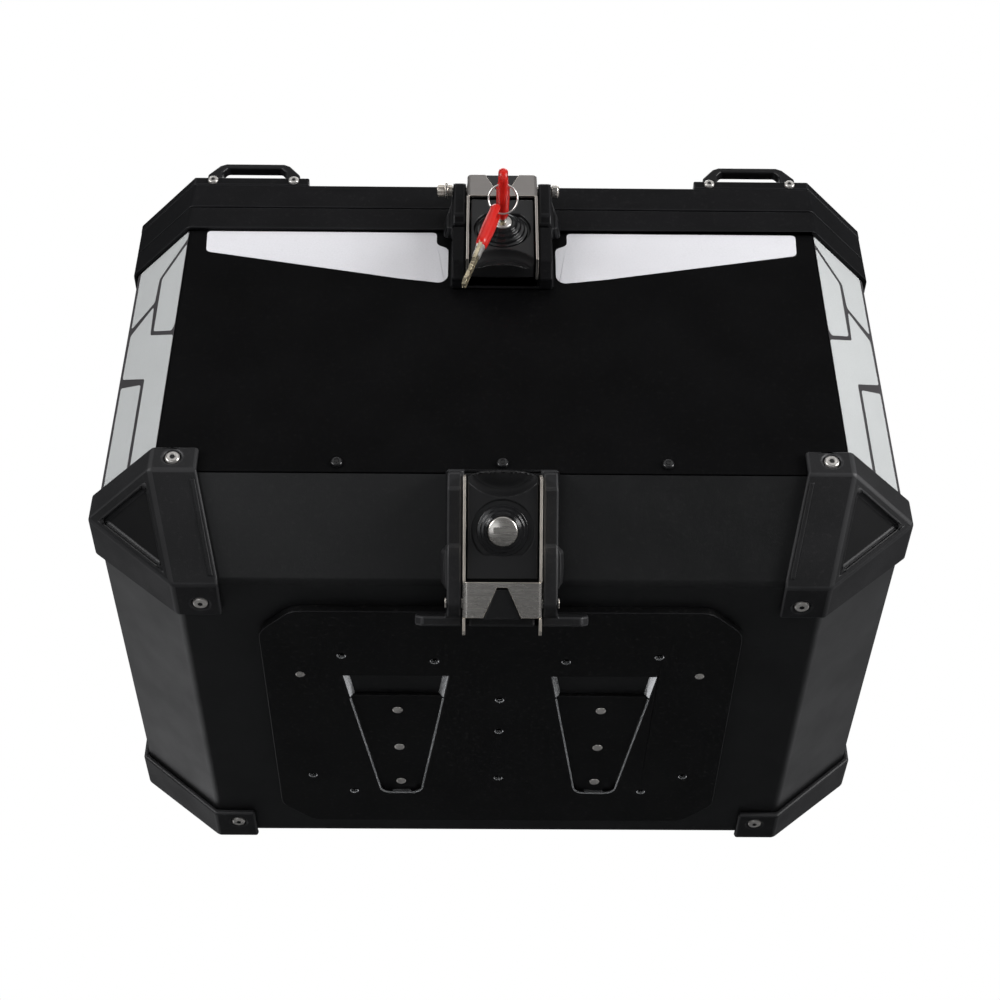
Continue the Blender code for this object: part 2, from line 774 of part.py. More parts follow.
def build_upper_bracket(at):
    """The bracket on the lid that carries the upper latch's pin, the pin and its clip."""
    front = TRIM_PROUD + GAP
    bracket = block("latch_hinge_bracket", (-CHEEK_OUT, 76.8, front), (CHEEK_OUT, 93, 5.6), at=at)
    outline = [(44.8, 3.7), (83, 3.7), (83, 15), (80, 20), (76, 21.7), (50, 20), (44.8, 16.5)]
    join(bracket, *side_plates("bracket_cheek", outline, CHEEK_IN, CHEEK_OUT - 0.2, at))
    join(bracket, *wings("bracket_wing", UPPER_WING, 3.9, 13, at))
    cut(bracket, pivot_hole("bracket_hole", at))
    pin = turned(
        "upper_latch_pin",
        [(PIN_R, -41), (PIN_R, 31.5), (4.2, 31.5), (4.2, 35), (3.2, 36)],
        (0, PIVOT_U, PIVOT_H),
        (1, 0, 0),
        at=at,
    )
    clip = turned(
        "latch_pin_clip",
        [(PIN_R + GAP, -36), (5.2, -36), (5.2, -34.2), (PIN_R + GAP, -34.2)],
        (0, PIVOT_U, PIVOT_H),
        (1, 0, 0),
        closed=True,
        at=at,
    )
    paint(bracket, "black_plastic")
    return [bracket, paint(pin, "stainless_steel"), paint(clip, "stainless_steel")]


def build_lower_base(at):
    """The lower latch's seat: it wraps the case's lower front edge and ends in a slotted flange bar."""
    edge_u = FRONT_BEVEL * math.sqrt(2) - LOWER_LATCH_RUN + 0.15
    floor_line = [(3, GAP), (edge_u, GAP), (81.2, -13.5), (90, -4.6)]
    floor = floor_line + [(90, -1.8), (84, -1.8), (79, -6), (73, -4.2), (66, 2.4), (3, 2.4)]
    base = prism(
        "lower_latch_base", floor, -CHEEK_OUT + 0.2, CHEEK_OUT - 0.2, axis="X", at=at
    )
    cheek = [(3.5, 0.8), (edge_u, 0.8), (81.2, -12.8), (89.8, -4)]
    cheek += [(89.8, 10.8), (84.6, 10.8), (83.6, 15.5), (80, 20), (76, 21.7), (50, 20), (44, 16), (12, 16), (3.5, 9)]
    join(base, *side_plates("lower_base_cheek", cheek, CHEEK_IN, CHEEK_OUT, at))
    join(base, *wings("lower_base_wing", LOWER_WING, 1.5, 14, at))
    bar_low, bar_high = 84.5, 90.2
    bar_outline = [(-49, -2.2), (49, -2.2), (49, 6.5), (45, 11), (-45, 11), (-49, 6.5)]
    bar = prism("flange_bar", bar_outline, bar_low, bar_high, axis="Y", at=at)
    join(base, bar)
    slot = [(bar_low - 1.5, -1.5), (bar_high + 1, -1.5), (bar_high + 1, 13), (bar_low - 1.5, 13)]
    cut(base, *side_plates("tip_slot", slot, 18.5, CHEEK_IN, at))
    cut(base, pivot_hole("lower_base_hole", at))
    pin = turned(
        "lower_latch_pin",
        [(PIN_R, -32), (PIN_R, 32)],
        (0, PIVOT_U, PIVOT_H),
        (1, 0, 0),
        at=at,
    )
    paint(base, "black_gloss")
    paint(pin, "stainless_steel")


# ---- keys ----


def build_key(name, at, blade_long):
    """A key along +Z of its own frame: the blade ends at z = 0, where the grip starts."""
    thick = BLADE_THICK / 2
    blade = block(name, (-thick, -BLADE_HALF, -blade_long), (thick, BLADE_HALF, BLADE_IN_GRIP), at=at)
    side = [
        (-GRIP_HALF + 1, 0),
        (GRIP_HALF - 1, 0),
        (GRIP_HALF, GRIP_LONG * 0.5),
        (GRIP_HALF, GRIP_LONG),
        (-GRIP_HALF, GRIP_LONG),
        (-GRIP_HALF, GRIP_LONG * 0.5),
    ]
    outline = rounded(side, 4, steps=4)
    grip = prism(f"{name}_grip", outline, -GRIP_THICK / 2, GRIP_THICK / 2, axis="X", at=at)
    pocket_low = (-thick - GAP, -BLADE_HALF - GAP, -2)
    pocket_high = (thick + GAP, BLADE_HALF + GAP, BLADE_IN_GRIP + GAP)
    socket = block(f"{name}_socket", pocket_low, pocket_high, at=at)
    near, far = (GRIP_LONG - end for end in GRIP_SLOT)
    half = GRIP_SLOT_HALF
    slot_outline = rounded([(-half, far), (half, far), (half, near), (-half, near)], 2, steps=3)
    slot = prism(f"{name}_slot", slot_outline, -10, 10, axis="X", at=at)
    cut(grip, socket, slot)
    return [paint(blade, "nickel_plate"), paint(grip, "red_plastic")]


def key_hole_point():
    """Where the ring passes through the grip of the key that is in the upper lock."""
    out = GRIP_START_H + GRIP_LONG - RING_IN_FIRST
    return Vector((0, -CASE_DEPTH / 2 - out, UPPER_LATCH_Z + LOCK_U))


def ring_axes():
    """The key ring's centre, and the direction from it up to the key's hole."""
    rise = Vector((0, -math.cos(RING_LEAN), math.sin(RING_LEAN)))
    return key_hole_point() - rise * RING_R, rise


def second_key_point():
    centre, rise = ring_axes()
    across = Vector((-1, 0, 0)) * math.sin(SECOND_KEY_TURN)
    return centre + (across - rise * math.cos(SECOND_KEY_TURN)) * RING_R


def build_ring():
    """The split ring through both keys' holes, as one closed loop of wire."""
    centre, rise = ring_axes()
    normal = Vector((1, 0, 0)).cross(rise)
    loops = []
    for i in range(28):
        turn = 2 * math.pi * i / 28
        out = Vector((1, 0, 0)) * math.sin(turn) + rise * math.cos(turn)
        wire = [2 * math.pi * k / 8 for k in range(8)]
        loops.append(
            [
                centre + out * (RING_R + RING_WIRE * math.cos(a)) + normal * RING_WIRE * math.sin(a)
                for a in wire
            ]
        )
    return paint(skin("key_ring", loops, closed=True), "nickel_plate")


def build_keys():
    """The key in the upper lock, the ring on it and the second key hanging from the ring."""
    in_lock = Matrix.Translation((0, -CASE_DEPTH / 2 - GRIP_START_H, UPPER_LATCH_Z + LOCK_U))
    in_lock @= Matrix.Rotation(math.pi / 2, 4, "X")
    key = build_key("key_in_lock", in_lock, 23.0)
    hang = Matrix.Translation(second_key_point()) @ Matrix.Rotation(SECOND_KEY_LEAN, 4, "Y")
    hang @= Matrix.Translation((0, 0, RING_IN_SECOND - GRIP_LONG))
    second = build_key("second_key", hang, SECOND_BLADE)
    return key, build_ring(), second


def attach(pieces, empty):
    for piece in pieces:
        keep_parent(piece, empty)


def main():
    clear_scene()
    wrap, tray = build_shell()
    build_protectors(wrap, tray)
    build_plate()
    upper = upper_frame()
    lower = lower_frame()
    build_upper_base(upper)
    build_lower_base(lower)

    lid_axis = pivot("lid_axis", (0, HINGE_Y, HINGE_Z))
    attach(build_lid() + build_lid_corners() + build_hinges(), lid_axis)
    attach(build_upper_bracket(upper), lid_axis)

    for label, at, parent in (("upper", upper, lid_axis), ("lower", lower, None)):
        latch_axis = pivot(f"{label}_latch_axis", at @ Vector((0, PIVOT_U, PIVOT_H)), parent)
        attach([build_bail(label, at, label == "lower"), *build_lever(label, at)], latch_axis)
        lock_axis = pivot(f"{label}_lock_axis", at @ Vector((0, LOCK_U, LOCK_FACE_H)), latch_axis)
        attach(build_lock(label, at), lock_axis)
        if label == "upper":
            key, key_ring, second = build_keys()
            attach(key, lock_axis)
            ring_axis = pivot("key_ring_axis", key_hole_point(), lock_axis)
            attach([key_ring], ring_axis)
            attach(second, pivot("second_key_axis", second_key_point(), ring_axis))


main()
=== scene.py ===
"""Finished surfaces of the motorcycle top case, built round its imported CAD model.

Lengths are in millimetres and become metres when a mesh is made. +Z is up and -Y is the front.
"""

import json
import math

import bmesh
import bpy
from mathutils import Matrix, Vector


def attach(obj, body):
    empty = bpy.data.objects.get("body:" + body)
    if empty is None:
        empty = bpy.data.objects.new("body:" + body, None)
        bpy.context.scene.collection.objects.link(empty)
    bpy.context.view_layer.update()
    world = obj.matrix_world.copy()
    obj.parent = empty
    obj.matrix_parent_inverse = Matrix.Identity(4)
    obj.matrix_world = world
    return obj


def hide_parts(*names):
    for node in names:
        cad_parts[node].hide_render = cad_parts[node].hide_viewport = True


MM = 0.001

# Camera: below the front edge, looking up at the case
CAMERA_AT = (-0.01269, -0.98693, -0.65958)
CAMERA_PITCH = math.radians(40.47)
CAMERA_YAW = math.radians(0.79)
CAMERA_ROLL = math.radians(-0.14)
CAMERA_LENS = 68.58

# Case outline
CASE_WIDTH = 470.0
CASE_DEPTH = 358.0
CORNER_WIDE = 38.0
CORNER_DEEP = 40.0
FRONT_BEVEL = 44.0
SIDE_BEVEL_WIDE = 50.0
SIDE_BEVEL_HIGH = 42.3
FLOOR_Z = 5.0
GUARD_THICK = 4.0
CAP_FRONT_Y = 182.0
SHEET_BEND = 3.0
WALL = 2.0
WRAP_LOW, WRAP_TOP = 49.9, 268.5
TRAY_TOP = 49.0

# Latches: lengths along each latch's own frame (u) and out from the wall (h)
UPPER_LATCH_Z = 196.6
LOWER_LATCH_RUN = -5.0
LOCK_U = 35.0
LOCK_R = {"upper": 5.9, "lower": 8.3}
LEVER_HALF = 19.5
LEVER_REAR = 62.0
LEVER_NOSE = 2.0
LEVER_TOP = 22.0
DISH_U = -10.2
DISH_IN, DISH_OUT = 11.2, 26.4
DISH_DEEP = 4.8
# DISH_WALL: where the painted shade on the dish's steep wall begins
DISH_WALL = 22.5
RECESS_R = 17.3
RECESS_FLAT = 13.6
RECESS_H = {"upper": 19.2, "lower": 21.0}
PIN_U = 76.0
PIN_H = 17.0
STRAP_LOW, STRAP_HIGH = 63.6, 83.6
STRAP_HALF = 22.1
STRAP_TOP = 23.9
STRAP_BEND = 2.8
STRAP_THICK = 1.6
STRAP_FOOT = 17.0
CUT_REACH = 30.0

# Keys and their ring
GRIP_LONG = 38.0
GRIP_RX = 3.9
GRIP_RY = 5.2
GRIP_START = 30.0
GRIP_END = 4.8
GRIP_HOLE_HALF = 3.5
GRIP_HOLE = (1.2, 13.6)
BLADE_HALF = 1.1
RING_R = 8.8
RING_WIRE = 0.55
RING_LEAN = math.radians(41.0)
RING_TURN = math.radians(30.0)
SECOND_LEAN = math.radians(16.0)

# Protectors: the painted-shade recess and the ridge round it as shares of the corner facet
RECESS_SHARE = 0.74
RECESS_DEPTHS = (0.3, 3.5)
RIDGE = ((0.70, -0.3), (0.73, 0.3), (0.77, 0.4), (0.83, -0.3))
LIP_TOP = (175.0, 179.0, 49.0)
LIP_FOOT = (163.6, 135.0, 5.0)
LIP_HIGH = 0.55

# Screws
GUARD_SCREW_UPPER = (186.5, 57.0)
GUARD_SCREW_LOWER = (172.0, 119.5)
HANDLE_SCREW_X = (134.5, 186.5)
HANDLE_SCREW_Z = 297.2
SEAM_SCREW_X = (-94, 0, 94)
SEAM_SCREW_Z = 56.5

# Mounting plate and its pockets
POCKET_X = 62.5
POCKET_MOUTH = (32 - 3.5, -27)
POCKET_BLIND = (13, 80.5)
PAD_Z = 2.5
PAD_RIVET_Y = (-11.5, 29.5, 69.5)
PLATE_SCREW = (119.5, -52)
SIDE_BUSHES = ((39, -66), (94, -71), (93, 78), (118.7, 59.5))
MIDDLE_BUSHES = ((0, -26), (0, 8), (0, 62))

# Studio, in metres
FLOOR_REACH = 6.0
FLOOR_LEVEL = -1.3
FLOOR_WASH = 0.72
LIGHT_AIM = (0, 0, 0.15)
LIGHTS = (
    ("front_left", (-2.15, -1.8, 0.2), (1.2, 1.2), 45, (1, 1, 1)),
    ("front_right", (2.4, -1.5, 0.2), (1.2, 1.2), 76, (1, 1, 1)),
    ("front_high", (0, -2.1, 1.9), (2.8, 1.6), 11, (1, 1, 1)),
    ("by_camera", (-0.75, -1.55, -1.1), (0.9, 0.8), 2.9, (0.95, 0.97, 1.0)),
    ("rear_left_low", (-1.9, 2.1, -0.35), (1.8, 1.4), 6.4, (0.98, 0.98, 1.0)),
    ("rear_right_low", (2.1, 1.9, -0.3), (1.6, 1.4), 3.4, (0.98, 0.98, 1.0)),
    ("overhead", (0, 0.6, 2.2), (2.0, 2.0), 40, (1, 1, 1)),
)

FRONT_REAR = ((-1, "front"), (1, "rear"))
LEFT_RIGHT = ((-1, "left"), (1, "right"))


# ---- materials ----

DUST_SCALE = 420.0
DUST_COLOUR = (0.32, 0.31, 0.3)
RELIEF = 0.6


def node(tree, kind, **inputs):
    made = tree.nodes.new(kind)
    for label, value in inputs.items():
        made.inputs[label.replace("_", " ")].default_value = value
    return made


def noise(tree, place, scale, detail=3.0, stretch=(1, 1, 1)):
    """Noise over the object's own coordinates, stretched along an axis where its scale is small."""
    mapping = node(tree, "ShaderNodeMapping", Scale=stretch)
    made = node(tree, "ShaderNodeTexNoise", Scale=scale, Detail=detail)
    tree.links.new(place, mapping.inputs["Vector"])
    tree.links.new(mapping.outputs["Vector"], made.inputs["Vector"])
    return made.outputs["Fac"]


def spread(tree, value, low, high, start=0.35, stop=0.65):
    """The value from start to stop mapped to low to high, and held at both ends."""
    made = node(tree, "ShaderNodeMapRange", From_Min=start, From_Max=stop, To_Min=low, To_Max=high)
    tree.links.new(value, made.inputs["Value"])
    return made.outputs["Result"]


def mixed(tree, factor, first, second):
    """A blend of two colours, each given as numbers or as another node's output."""
    made = tree.nodes.new("ShaderNodeMix")
    made.data_type = "RGBA"
    for socket, value in ((made.inputs[6], first), (made.inputs[7], second)):
        if isinstance(value, tuple):
            socket.default_value = (*value, 1.0)
        else:
            tree.links.new(value, socket)
    tree.links.new(factor, made.inputs[0])
    return made.outputs[2]


def surface(
    name,
    colour,
    rough,
    metallic=0.0,
    vary=0.18,
    patch=22.0,
    grain=900.0,
    depth=0.03,
    stretch=(1, 1, 1),
    specular=0.5,
    coat=0.0,
    dust=0.0,
):
    """A material with patchy colour, uneven roughness, fine relief and a little dust."""
    made = bpy.data.materials.new(name)
    made.use_nodes = True
    tree = made.node_tree
    shader = tree.nodes["Principled BSDF"]
    shader.inputs["Metallic"].default_value = metallic
    shader.inputs["Specular IOR Level"].default_value = specular
    shader.inputs["Coat Weight"].default_value = coat
    place = tree.nodes.new("ShaderNodeTexCoord").outputs["Object"]
    patches = noise(tree, place, patch, 4.0)
    light = tuple(min(1.0, c * (1 + vary)) for c in colour)
    dark = tuple(c * (1 - vary) for c in colour)
    tint = mixed(tree, spread(tree, patches, 0.0, 1.0), dark, light)
    fine = noise(tree, place, grain, 2.0, stretch)
    if dust:
        specks = spread(tree, noise(tree, place, DUST_SCALE, 6.0), 0.0, dust, 0.56, 0.72)
        tint = mixed(tree, specks, tint, DUST_COLOUR)
    tree.links.new(tint, shader.inputs["Base Color"])
    uneven = noise(tree, place, patch * 1.7, 5.0, stretch)
    tree.links.new(
        spread(tree, uneven, rough * 0.93, min(1.0, rough * 1.07)), shader.inputs["Roughness"]
    )
    bump = node(tree, "ShaderNodeBump", Strength=RELIEF, Distance=depth * MM)
    tree.links.new(fine, bump.inputs["Height"])
    tree.links.new(bump.outputs["Normal"], shader.inputs["Normal"])
    return made


def reflective_film(name, colour, cell):
    """Retroreflective sheet: a faint net of small cells under a clear face."""
    made = surface(name, colour, 0.34, vary=0.03, patch=9.0, grain=cell, depth=0.01, coat=0.25)
    tree = made.node_tree
    shader = tree.nodes["Principled BSDF"]
    tint = shader.inputs["Base Color"].links[0].from_socket
    place = tree.nodes["Texture Coordinate"].outputs["Object"]
    cells = node(tree, "ShaderNodeTexVoronoi", Scale=cell)
    cells.feature = "DISTANCE_TO_EDGE"
    tree.links.new(place, cells.inputs["Vector"])
    net = spread(tree, cells.outputs["Distance"], 0.35, 0.0, 0.0, 0.09)
    rim = tuple(c * 0.86 for c in colour)
    tree.links.new(mixed(tree, net, tint, rim), shader.inputs["Base Color"])
    return made


def make_materials():
    """Every finish by a short name; the blacks are the real coats' very low reflectances."""
    brushed = (1, 14, 14)
    return {
        "wrap": surface(
            "satin_black_sheet", (0.0024, 0.0024, 0.0026), 0.5, specular=0.04, dust=0.006
        ),
        "tray": surface(
            "textured_black_coat", (0.0052, 0.0054, 0.0058), 0.43, depth=0.06, dust=0.012
        ),
        "plate": surface(
            "plate_black_coat", (0.0032, 0.0032, 0.0034), 0.42, specular=0.25, dust=0.03
        ),
        "lid": surface("lid_black_sheet", (0.005, 0.005, 0.0056), 0.45, specular=0.2, dust=0.015),
        # The coat, trim and guard edge finishes are lighter copies laid on the rounded edges
        "coat_edge": surface(
            "lighter_edge_coat", (0.008, 0.008, 0.009), 0.46, vary=0.3, grain=500.0, specular=0.3
        ),
        "trim": surface(
            "grained_black_trim",
            (0.0042, 0.0042, 0.0048),
            0.5,
            grain=1500.0,
            depth=0.09,
            dust=0.015,
            specular=0.1,
        ),
        "trim_edge": surface(
            "lighter_edge_trim", (0.008, 0.008, 0.009), 0.45, vary=0.3, grain=1500.0, specular=0.2
        ),
        "guard": surface(
            "grained_black_guard",
            (0.0075, 0.0075, 0.0084),
            0.56,
            grain=1300.0,
            depth=0.12,
            dust=0.02,
            specular=0.32,
        ),
        "guard_edge": surface(
            "lighter_edge_guard", (0.0125, 0.0125, 0.0138), 0.54, vary=0.3, grain=1300.0, depth=0.08
        ),
        # Painted shade: a darker finish for the protectors' recesses and the lever dish's steep
        # wall
        "recess": surface(
            "painted_shade_guard", (0.0045, 0.0045, 0.005), 0.66, grain=1300.0, depth=0.12, specular=0.2
        ),
        "lever": surface(
            "satin_black_lever", (0.0085, 0.0085, 0.009), 0.42, depth=0.02, specular=0.35
        ),
        "polished": surface(
            "polished_black_collar", (0.007, 0.007, 0.0075), 0.17, grain=300.0, depth=0.008
        ),
        "gloss": surface(
            "smooth_black_moulding",
            (0.0055, 0.0055, 0.006),
            0.3,
            grain=300.0,
            depth=0.015,
            dust=0.02,
        ),
        "gloss_edge": surface("smooth_black_edge", (0.01, 0.01, 0.011), 0.24, grain=300.0),
        "steel": surface(
            "brushed_steel",
            (0.6, 0.575, 0.54),
            0.27,
            0.92,
            vary=0.08,
            stretch=brushed,
            depth=0.0005,
        ),
        "satin_steel": surface(
            "satin_steel", (0.33, 0.31, 0.297), 0.42, 0.92, vary=0.05, stretch=brushed, depth=0.0001
        ),
        "steel_edge": surface(
            "bright_steel", (0.86, 0.79, 0.7), 0.3, 0.85, vary=0.12, depth=0.004
        ),
        "nickel": surface("nickel_plate", (0.57, 0.55, 0.525), 0.3, 0.75, vary=0.1, grain=700.0),
        "brass": surface(
            "worn_brass", (0.62, 0.54, 0.38), 0.28, 0.9, vary=0.35, grain=700.0, patch=180.0
        ),
        "red": surface(
            "glossy_red",
            (0.5, 0.012, 0.008),
            0.33,
            vary=0.12,
            grain=260.0,
            coat=0.1,
            specular=0.35,
        ),
        "rubber": surface("seal_rubber", (0.014, 0.014, 0.014), 0.8, grain=1200.0, depth=0.05),
        "bare": surface(
            "machined_aluminium", (0.74, 0.75, 0.76), 0.22, 0.85, stretch=(2, 20, 2), depth=0.01
        ),
        "socket": surface("socket_shadow", (0.004, 0.004, 0.004), 0.7, vary=0.3),
        "white": reflective_film("white_film", (0.69, 0.685, 0.715), 520.0),
        "grey": reflective_film("silver_film", (0.56, 0.575, 0.575), 520.0),
        "line": surface("printed_line", (0.052, 0.049, 0.052), 0.42, vary=0.1, specular=0.3),
    }


# ---- meshes ----


def finish_mesh(name, shape, body, slot, *materials, sharp=32):
    """The bmesh as a piece that rides on a CAD body, with the given materials; slot is not used."""
    bmesh.ops.recalc_face_normals(shape, faces=shape.faces)
    mesh = bpy.data.meshes.new(name)
    shape.to_mesh(mesh)
    shape.free()
    mesh.shade_smooth()
    mesh.set_sharp_from_angle(angle=math.radians(sharp))
    thing = bpy.data.objects.new(name, mesh)
    bpy.context.scene.collection.objects.link(thing)
    for material in materials:
        mesh.materials.append(material)
    if body:
        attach(thing, body)
    return thing


def loft(loops, closed=False, at=Matrix()):
    """A bmesh through loops of points, capped at both ends or joined into a ring."""
    shape = bmesh.new()
    rings = [[shape.verts.new((at @ Vector(point)) * MM) for point in loop] for loop in loops]
    pairs = list(zip(rings, rings[1:]))
    if closed:
        pairs.append((rings[-1], rings[0]))
    else:
        shape.faces.new(rings[0])
        shape.faces.new(rings[-1])
    for low, high in pairs:
        for i in range(len(low)):
            j = (i + 1) % len(low)
            shape.faces.new((low[i], low[j], high[j], high[i]))
    return shape


def turned(profile, base, axis, steps=48, closed=False, at=Matrix()):
    """A bmesh of a profile of (radius, distance along the axis) turned about an axis."""
    spin = Vector((0, 0, 1)).rotation_difference(Vector(axis)).to_matrix().to_4x4()
    turn = at @ Matrix.Translation(base) @ spin
    angles = [2 * math.pi * i / steps for i in range(steps)]
    loops = [[(r * math.cos(a), r * math.sin(a), along) for a in angles] for r, along in profile]
    return loft(loops, closed, turn)


def rounded(corners, radius, steps=5):
    """The outline with each corner replaced by a short curve that starts radius away from it."""
    outline = []
    for i, corner in enumerate(corners):
        here = Vector(corner)
        back = here + (Vector(corners[i - 1]) - here).normalized() * radius
        ahead = here + (Vector(corners[(i + 1) % len(corners)]) - here).normalized() * radius
        for k in range(steps + 1):
            t = k / steps
            outline.append(tuple(back * (1 - t) ** 2 + here * 2 * t * (1 - t) + ahead * t**2))
    return outline


def slab(outline, low, high, at=Matrix()):
    """A bmesh of an outline in a frame's x and y, raised along its z."""
    return loft([[(x, y, z) for x, y in outline] for z in (low, high)], at=at)


def soften(thing, width, segments=3, angle=30, edge=None):
    """Rounds the piece's sharp edges; edge is the material slot number of the rounding."""
    bevel = thing.modifiers.new("rounding", "BEVEL")
    bevel.width = width * MM
    bevel.segments = segments
    bevel.limit_method = "ANGLE"
    bevel.angle_limit = math.radians(angle)
    bevel.use_clamp_overlap = False
    if edge is not None:
        bevel.material = edge
    thing.data.shade_smooth()
    flat = thing.modifiers.new("flat_faces", "WEIGHTED_NORMAL")
    flat.weight = 100


def copy_of(cad_node, whole=True):
    """A bmesh of a CAD node, with its flat areas joined into whole faces or left as triangles."""
    shape = bmesh.new()
    shape.from_mesh(frame["nodes"][cad_node].data)
    bmesh.ops.remove_doubles(shape, verts=shape.verts, dist=1e-6)
    if whole:
        bmesh.ops.dissolve_limit(
            shape, angle_limit=math.radians(0.5), verts=shape.verts, edges=shape.edges
        )
    return shape


def body_holding(cad_node):
    bodies = frame["record"]["behaviour"]["bodies"]
    return next(name for name, nodes in bodies.items() if cad_node in nodes)


def bend_folds(shape, radius):
    """Rounds the long outward folds of a sheet to a bend radius, but not the tray's top edge."""
    shortest, near_seam = 15.0, 2.5
    least, most = math.radians(12), math.radians(80)
    folds = []
    for edge in shape.edges:
        if len(edge.link_faces) != 2 or edge.calc_length() < shortest * MM:
            continue
        at_seam = all(abs(end.co.z / MM - TRAY_TOP) < near_seam for end in edge.verts)
        if least < edge.calc_face_angle_signed(0) < most and not at_seam:
            folds.append(edge)
    bmesh.ops.bevel(
        shape, geom=folds, offset=radius * MM, segments=4, profile=0.5, affect="EDGES"
    )


def refine(
    cad_node, width, material, edge, segments=3, fold=0.0, cutters=(), mark=None, whole=True
):
    """A piece in a CAD node's place: the same shape with bends and edges rounded.

    The cutters are taken out of it, mark gives some faces another finish, and whole=False keeps
    its flat areas as triangles, for a sheet with holes.
    """
    shape = copy_of(cad_node, whole)
    if fold:
        bend_folds(shape, fold)
    piece = finish_mesh(f"{cad_node}_shape", shape, None, None, material, edge)
    for cutter in cutters:
        carve(piece, cutter)
    if mark:
        mark(piece)
    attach(piece, body_holding(cad_node))
    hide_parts(cad_node)
    soften(piece, width, segments, edge=1)


def carve(piece, cutter):
    """Cuts a bmesh out of the piece's mesh for good."""
    tool = finish_mesh("cutter", cutter, None, None)
    modifier = piece.modifiers.new("cut", "BOOLEAN")
    modifier.operation = "DIFFERENCE"
    modifier.solver = "EXACT"
    modifier.object = tool
    bpy.context.view_layer.update()
    graph = bpy.context.evaluated_depsgraph_get()
    mesh = bpy.data.meshes.new_from_object(piece.evaluated_get(graph))
    piece.modifiers.clear()
    piece.data = mesh
    bpy.data.objects.remove(tool)


# ---- the case's outline ----


def octagon(out):
    """Half sizes of the case's plan outline moved outwards by out, and where its corners start."""
    edge = math.hypot(CORNER_WIDE, CORNER_DEEP)
    lean_x, lean_y = CORNER_DEEP / edge, CORNER_WIDE / edge
    half_x, half_y = CASE_WIDTH / 2 + out, CASE_DEPTH / 2 + out
    turn_x = CASE_WIDTH / 2 - CORNER_WIDE + out * (1 - lean_y) / lean_x
    turn_y = CASE_DEPTH / 2 - CORNER_DEEP + out * (1 - lean_x) / lean_y
    return half_x, half_y, turn_x, turn_y


def slope_corner(out):
    """The three points of one lower corner moved outwards by out: floor, side and front."""
    slope = math.hypot(SIDE_BEVEL_WIDE, SIDE_BEVEL_HIGH)
    front_rise = out * (math.sqrt(2) - 1)
    low_x = CASE_WIDTH / 2 - SIDE_BEVEL_WIDE + out * (slope - SIDE_BEVEL_WIDE) / SIDE_BEVEL_HIGH
    low_y = CASE_DEPTH / 2 - FRONT_BEVEL + front_rise
    side_z = FLOOR_Z + SIDE_BEVEL_HIGH - out * (slope - SIDE_BEVEL_HIGH) / SIDE_BEVEL_WIDE
    half_x, half_y, turn_x, turn_y = octagon(out)
    front = (turn_x, half_y, FLOOR_Z + FRONT_BEVEL - front_rise)
    return (low_x, low_y, FLOOR_Z - out), (half_x, turn_y, side_z), front


def corner_face(sx, sy):
    """Frame of the vertical corner face: x across it from the front wall, y up, z outwards."""
    half_x, half_y, turn_x, turn_y = octagon(0)
    start = Vector((sx * turn_x, sy * half_y, 0))
    along = (Vector((sx * half_x, sy * turn_y, 0)) - start).normalized()
    up = Vector((0, 0, 1))
    out = along.cross(up)
    if out.x * sx < 0:
        out = -out
    turn = Matrix((along, up, out)).transposed().to_4x4()
    return Matrix.Translation(start) @ turn


def front_frame(z):
    """Frame on the front wall at a height: x across it, y up and z outwards."""
    return Matrix.Translation((0, -CASE_DEPTH / 2, z)) @ Matrix.Rotation(math.pi / 2, 4, "X")


def slope_frame():
    """Frame on the front sloped edge: x across it, y down it and z outwards."""
    run = math.sqrt(0.5)
    top_edge = Vector((0, -CASE_DEPTH / 2, FLOOR_Z + FRONT_BEVEL))
    along, out = Vector((0, run, -run)), Vector((0, -run, -run))
    turn = Matrix((along.cross(out), along, out)).transposed().to_4x4()
    return Matrix.Translation(top_edge + along * LOWER_LATCH_RUN) @ turn


# ---- shells ----


def plan_outline(out, radius):
    """The case's eight-sided plan outline moved outwards by out, with its corners bent round."""
    half_x, half_y, turn_x, turn_y = octagon(out)
    right = [(half_x, -turn_y), (half_x, turn_y), (turn_x, half_y)]
    left = [(-turn_x, half_y), (-half_x, turn_y), (-half_x, -turn_y), (-turn_x, -half_y)]
    return rounded([*right, *left, (turn_x, -half_y)], radius, steps=4)


def build_wrap():
    """The aluminium sheet that wraps the body, with a fine seam above the tray."""
    profile = ((0, WRAP_LOW), (0, WRAP_TOP), (-WALL, WRAP_TOP), (-WALL, WRAP_LOW))
    loops = [[(x, y, z) for x, y in plan_outline(out, SHEET_BEND)] for out, z in profile]
    shape = loft(loops, closed=True)
    wrap = finish_mesh("body_wrap_sheet", shape, "case", "black_powder_coat", look["wrap"])
    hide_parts("body_wrap")
    soften(wrap, 0.25, 2)


def build_shells():
    build_wrap()
    refine("bottom_tray", 0.35, look["tray"], look["coat_edge"], 2, fold=SHEET_BEND)
    refine("lid_shell", 0.3, look["lid"], look["coat_edge"], 2, fold=SHEET_BEND)
    for name in ("body_rim", "lid_band"):
        refine(name, 0.7, look["trim"], look["trim_edge"], 3, fold=2.0)
    for sy, end in FRONT_REAR:
        for sx, side in LEFT_RIGHT:
            refine(f"lid_corner_{end}_{side}", 1.0, look["trim"], look["trim_edge"], 4)
            build_guard(sx, sy, f"{end}_{side}")
            refine(f"tie_down_handle_{end}_{side}", 1.3, look["lid"], look["coat_edge"], 4)
    seal = frame["nodes"]["lid_seal"].data.materials
    seal.clear()
    seal.append(look["rubber"])


def guard_facet(sx, sy):
    """A protector's corner facet: its corners, centre and outward normal."""
    corner = [Vector((sx * x, sy * y, z)) for x, y, z in slope_corner(GUARD_THICK)]
    centre = sum(corner, Vector()) / 3
    normal = (corner[1] - corner[0]).cross(corner[2] - corner[0]).normalized()
    return corner, centre, -normal if normal.z > 0 else normal


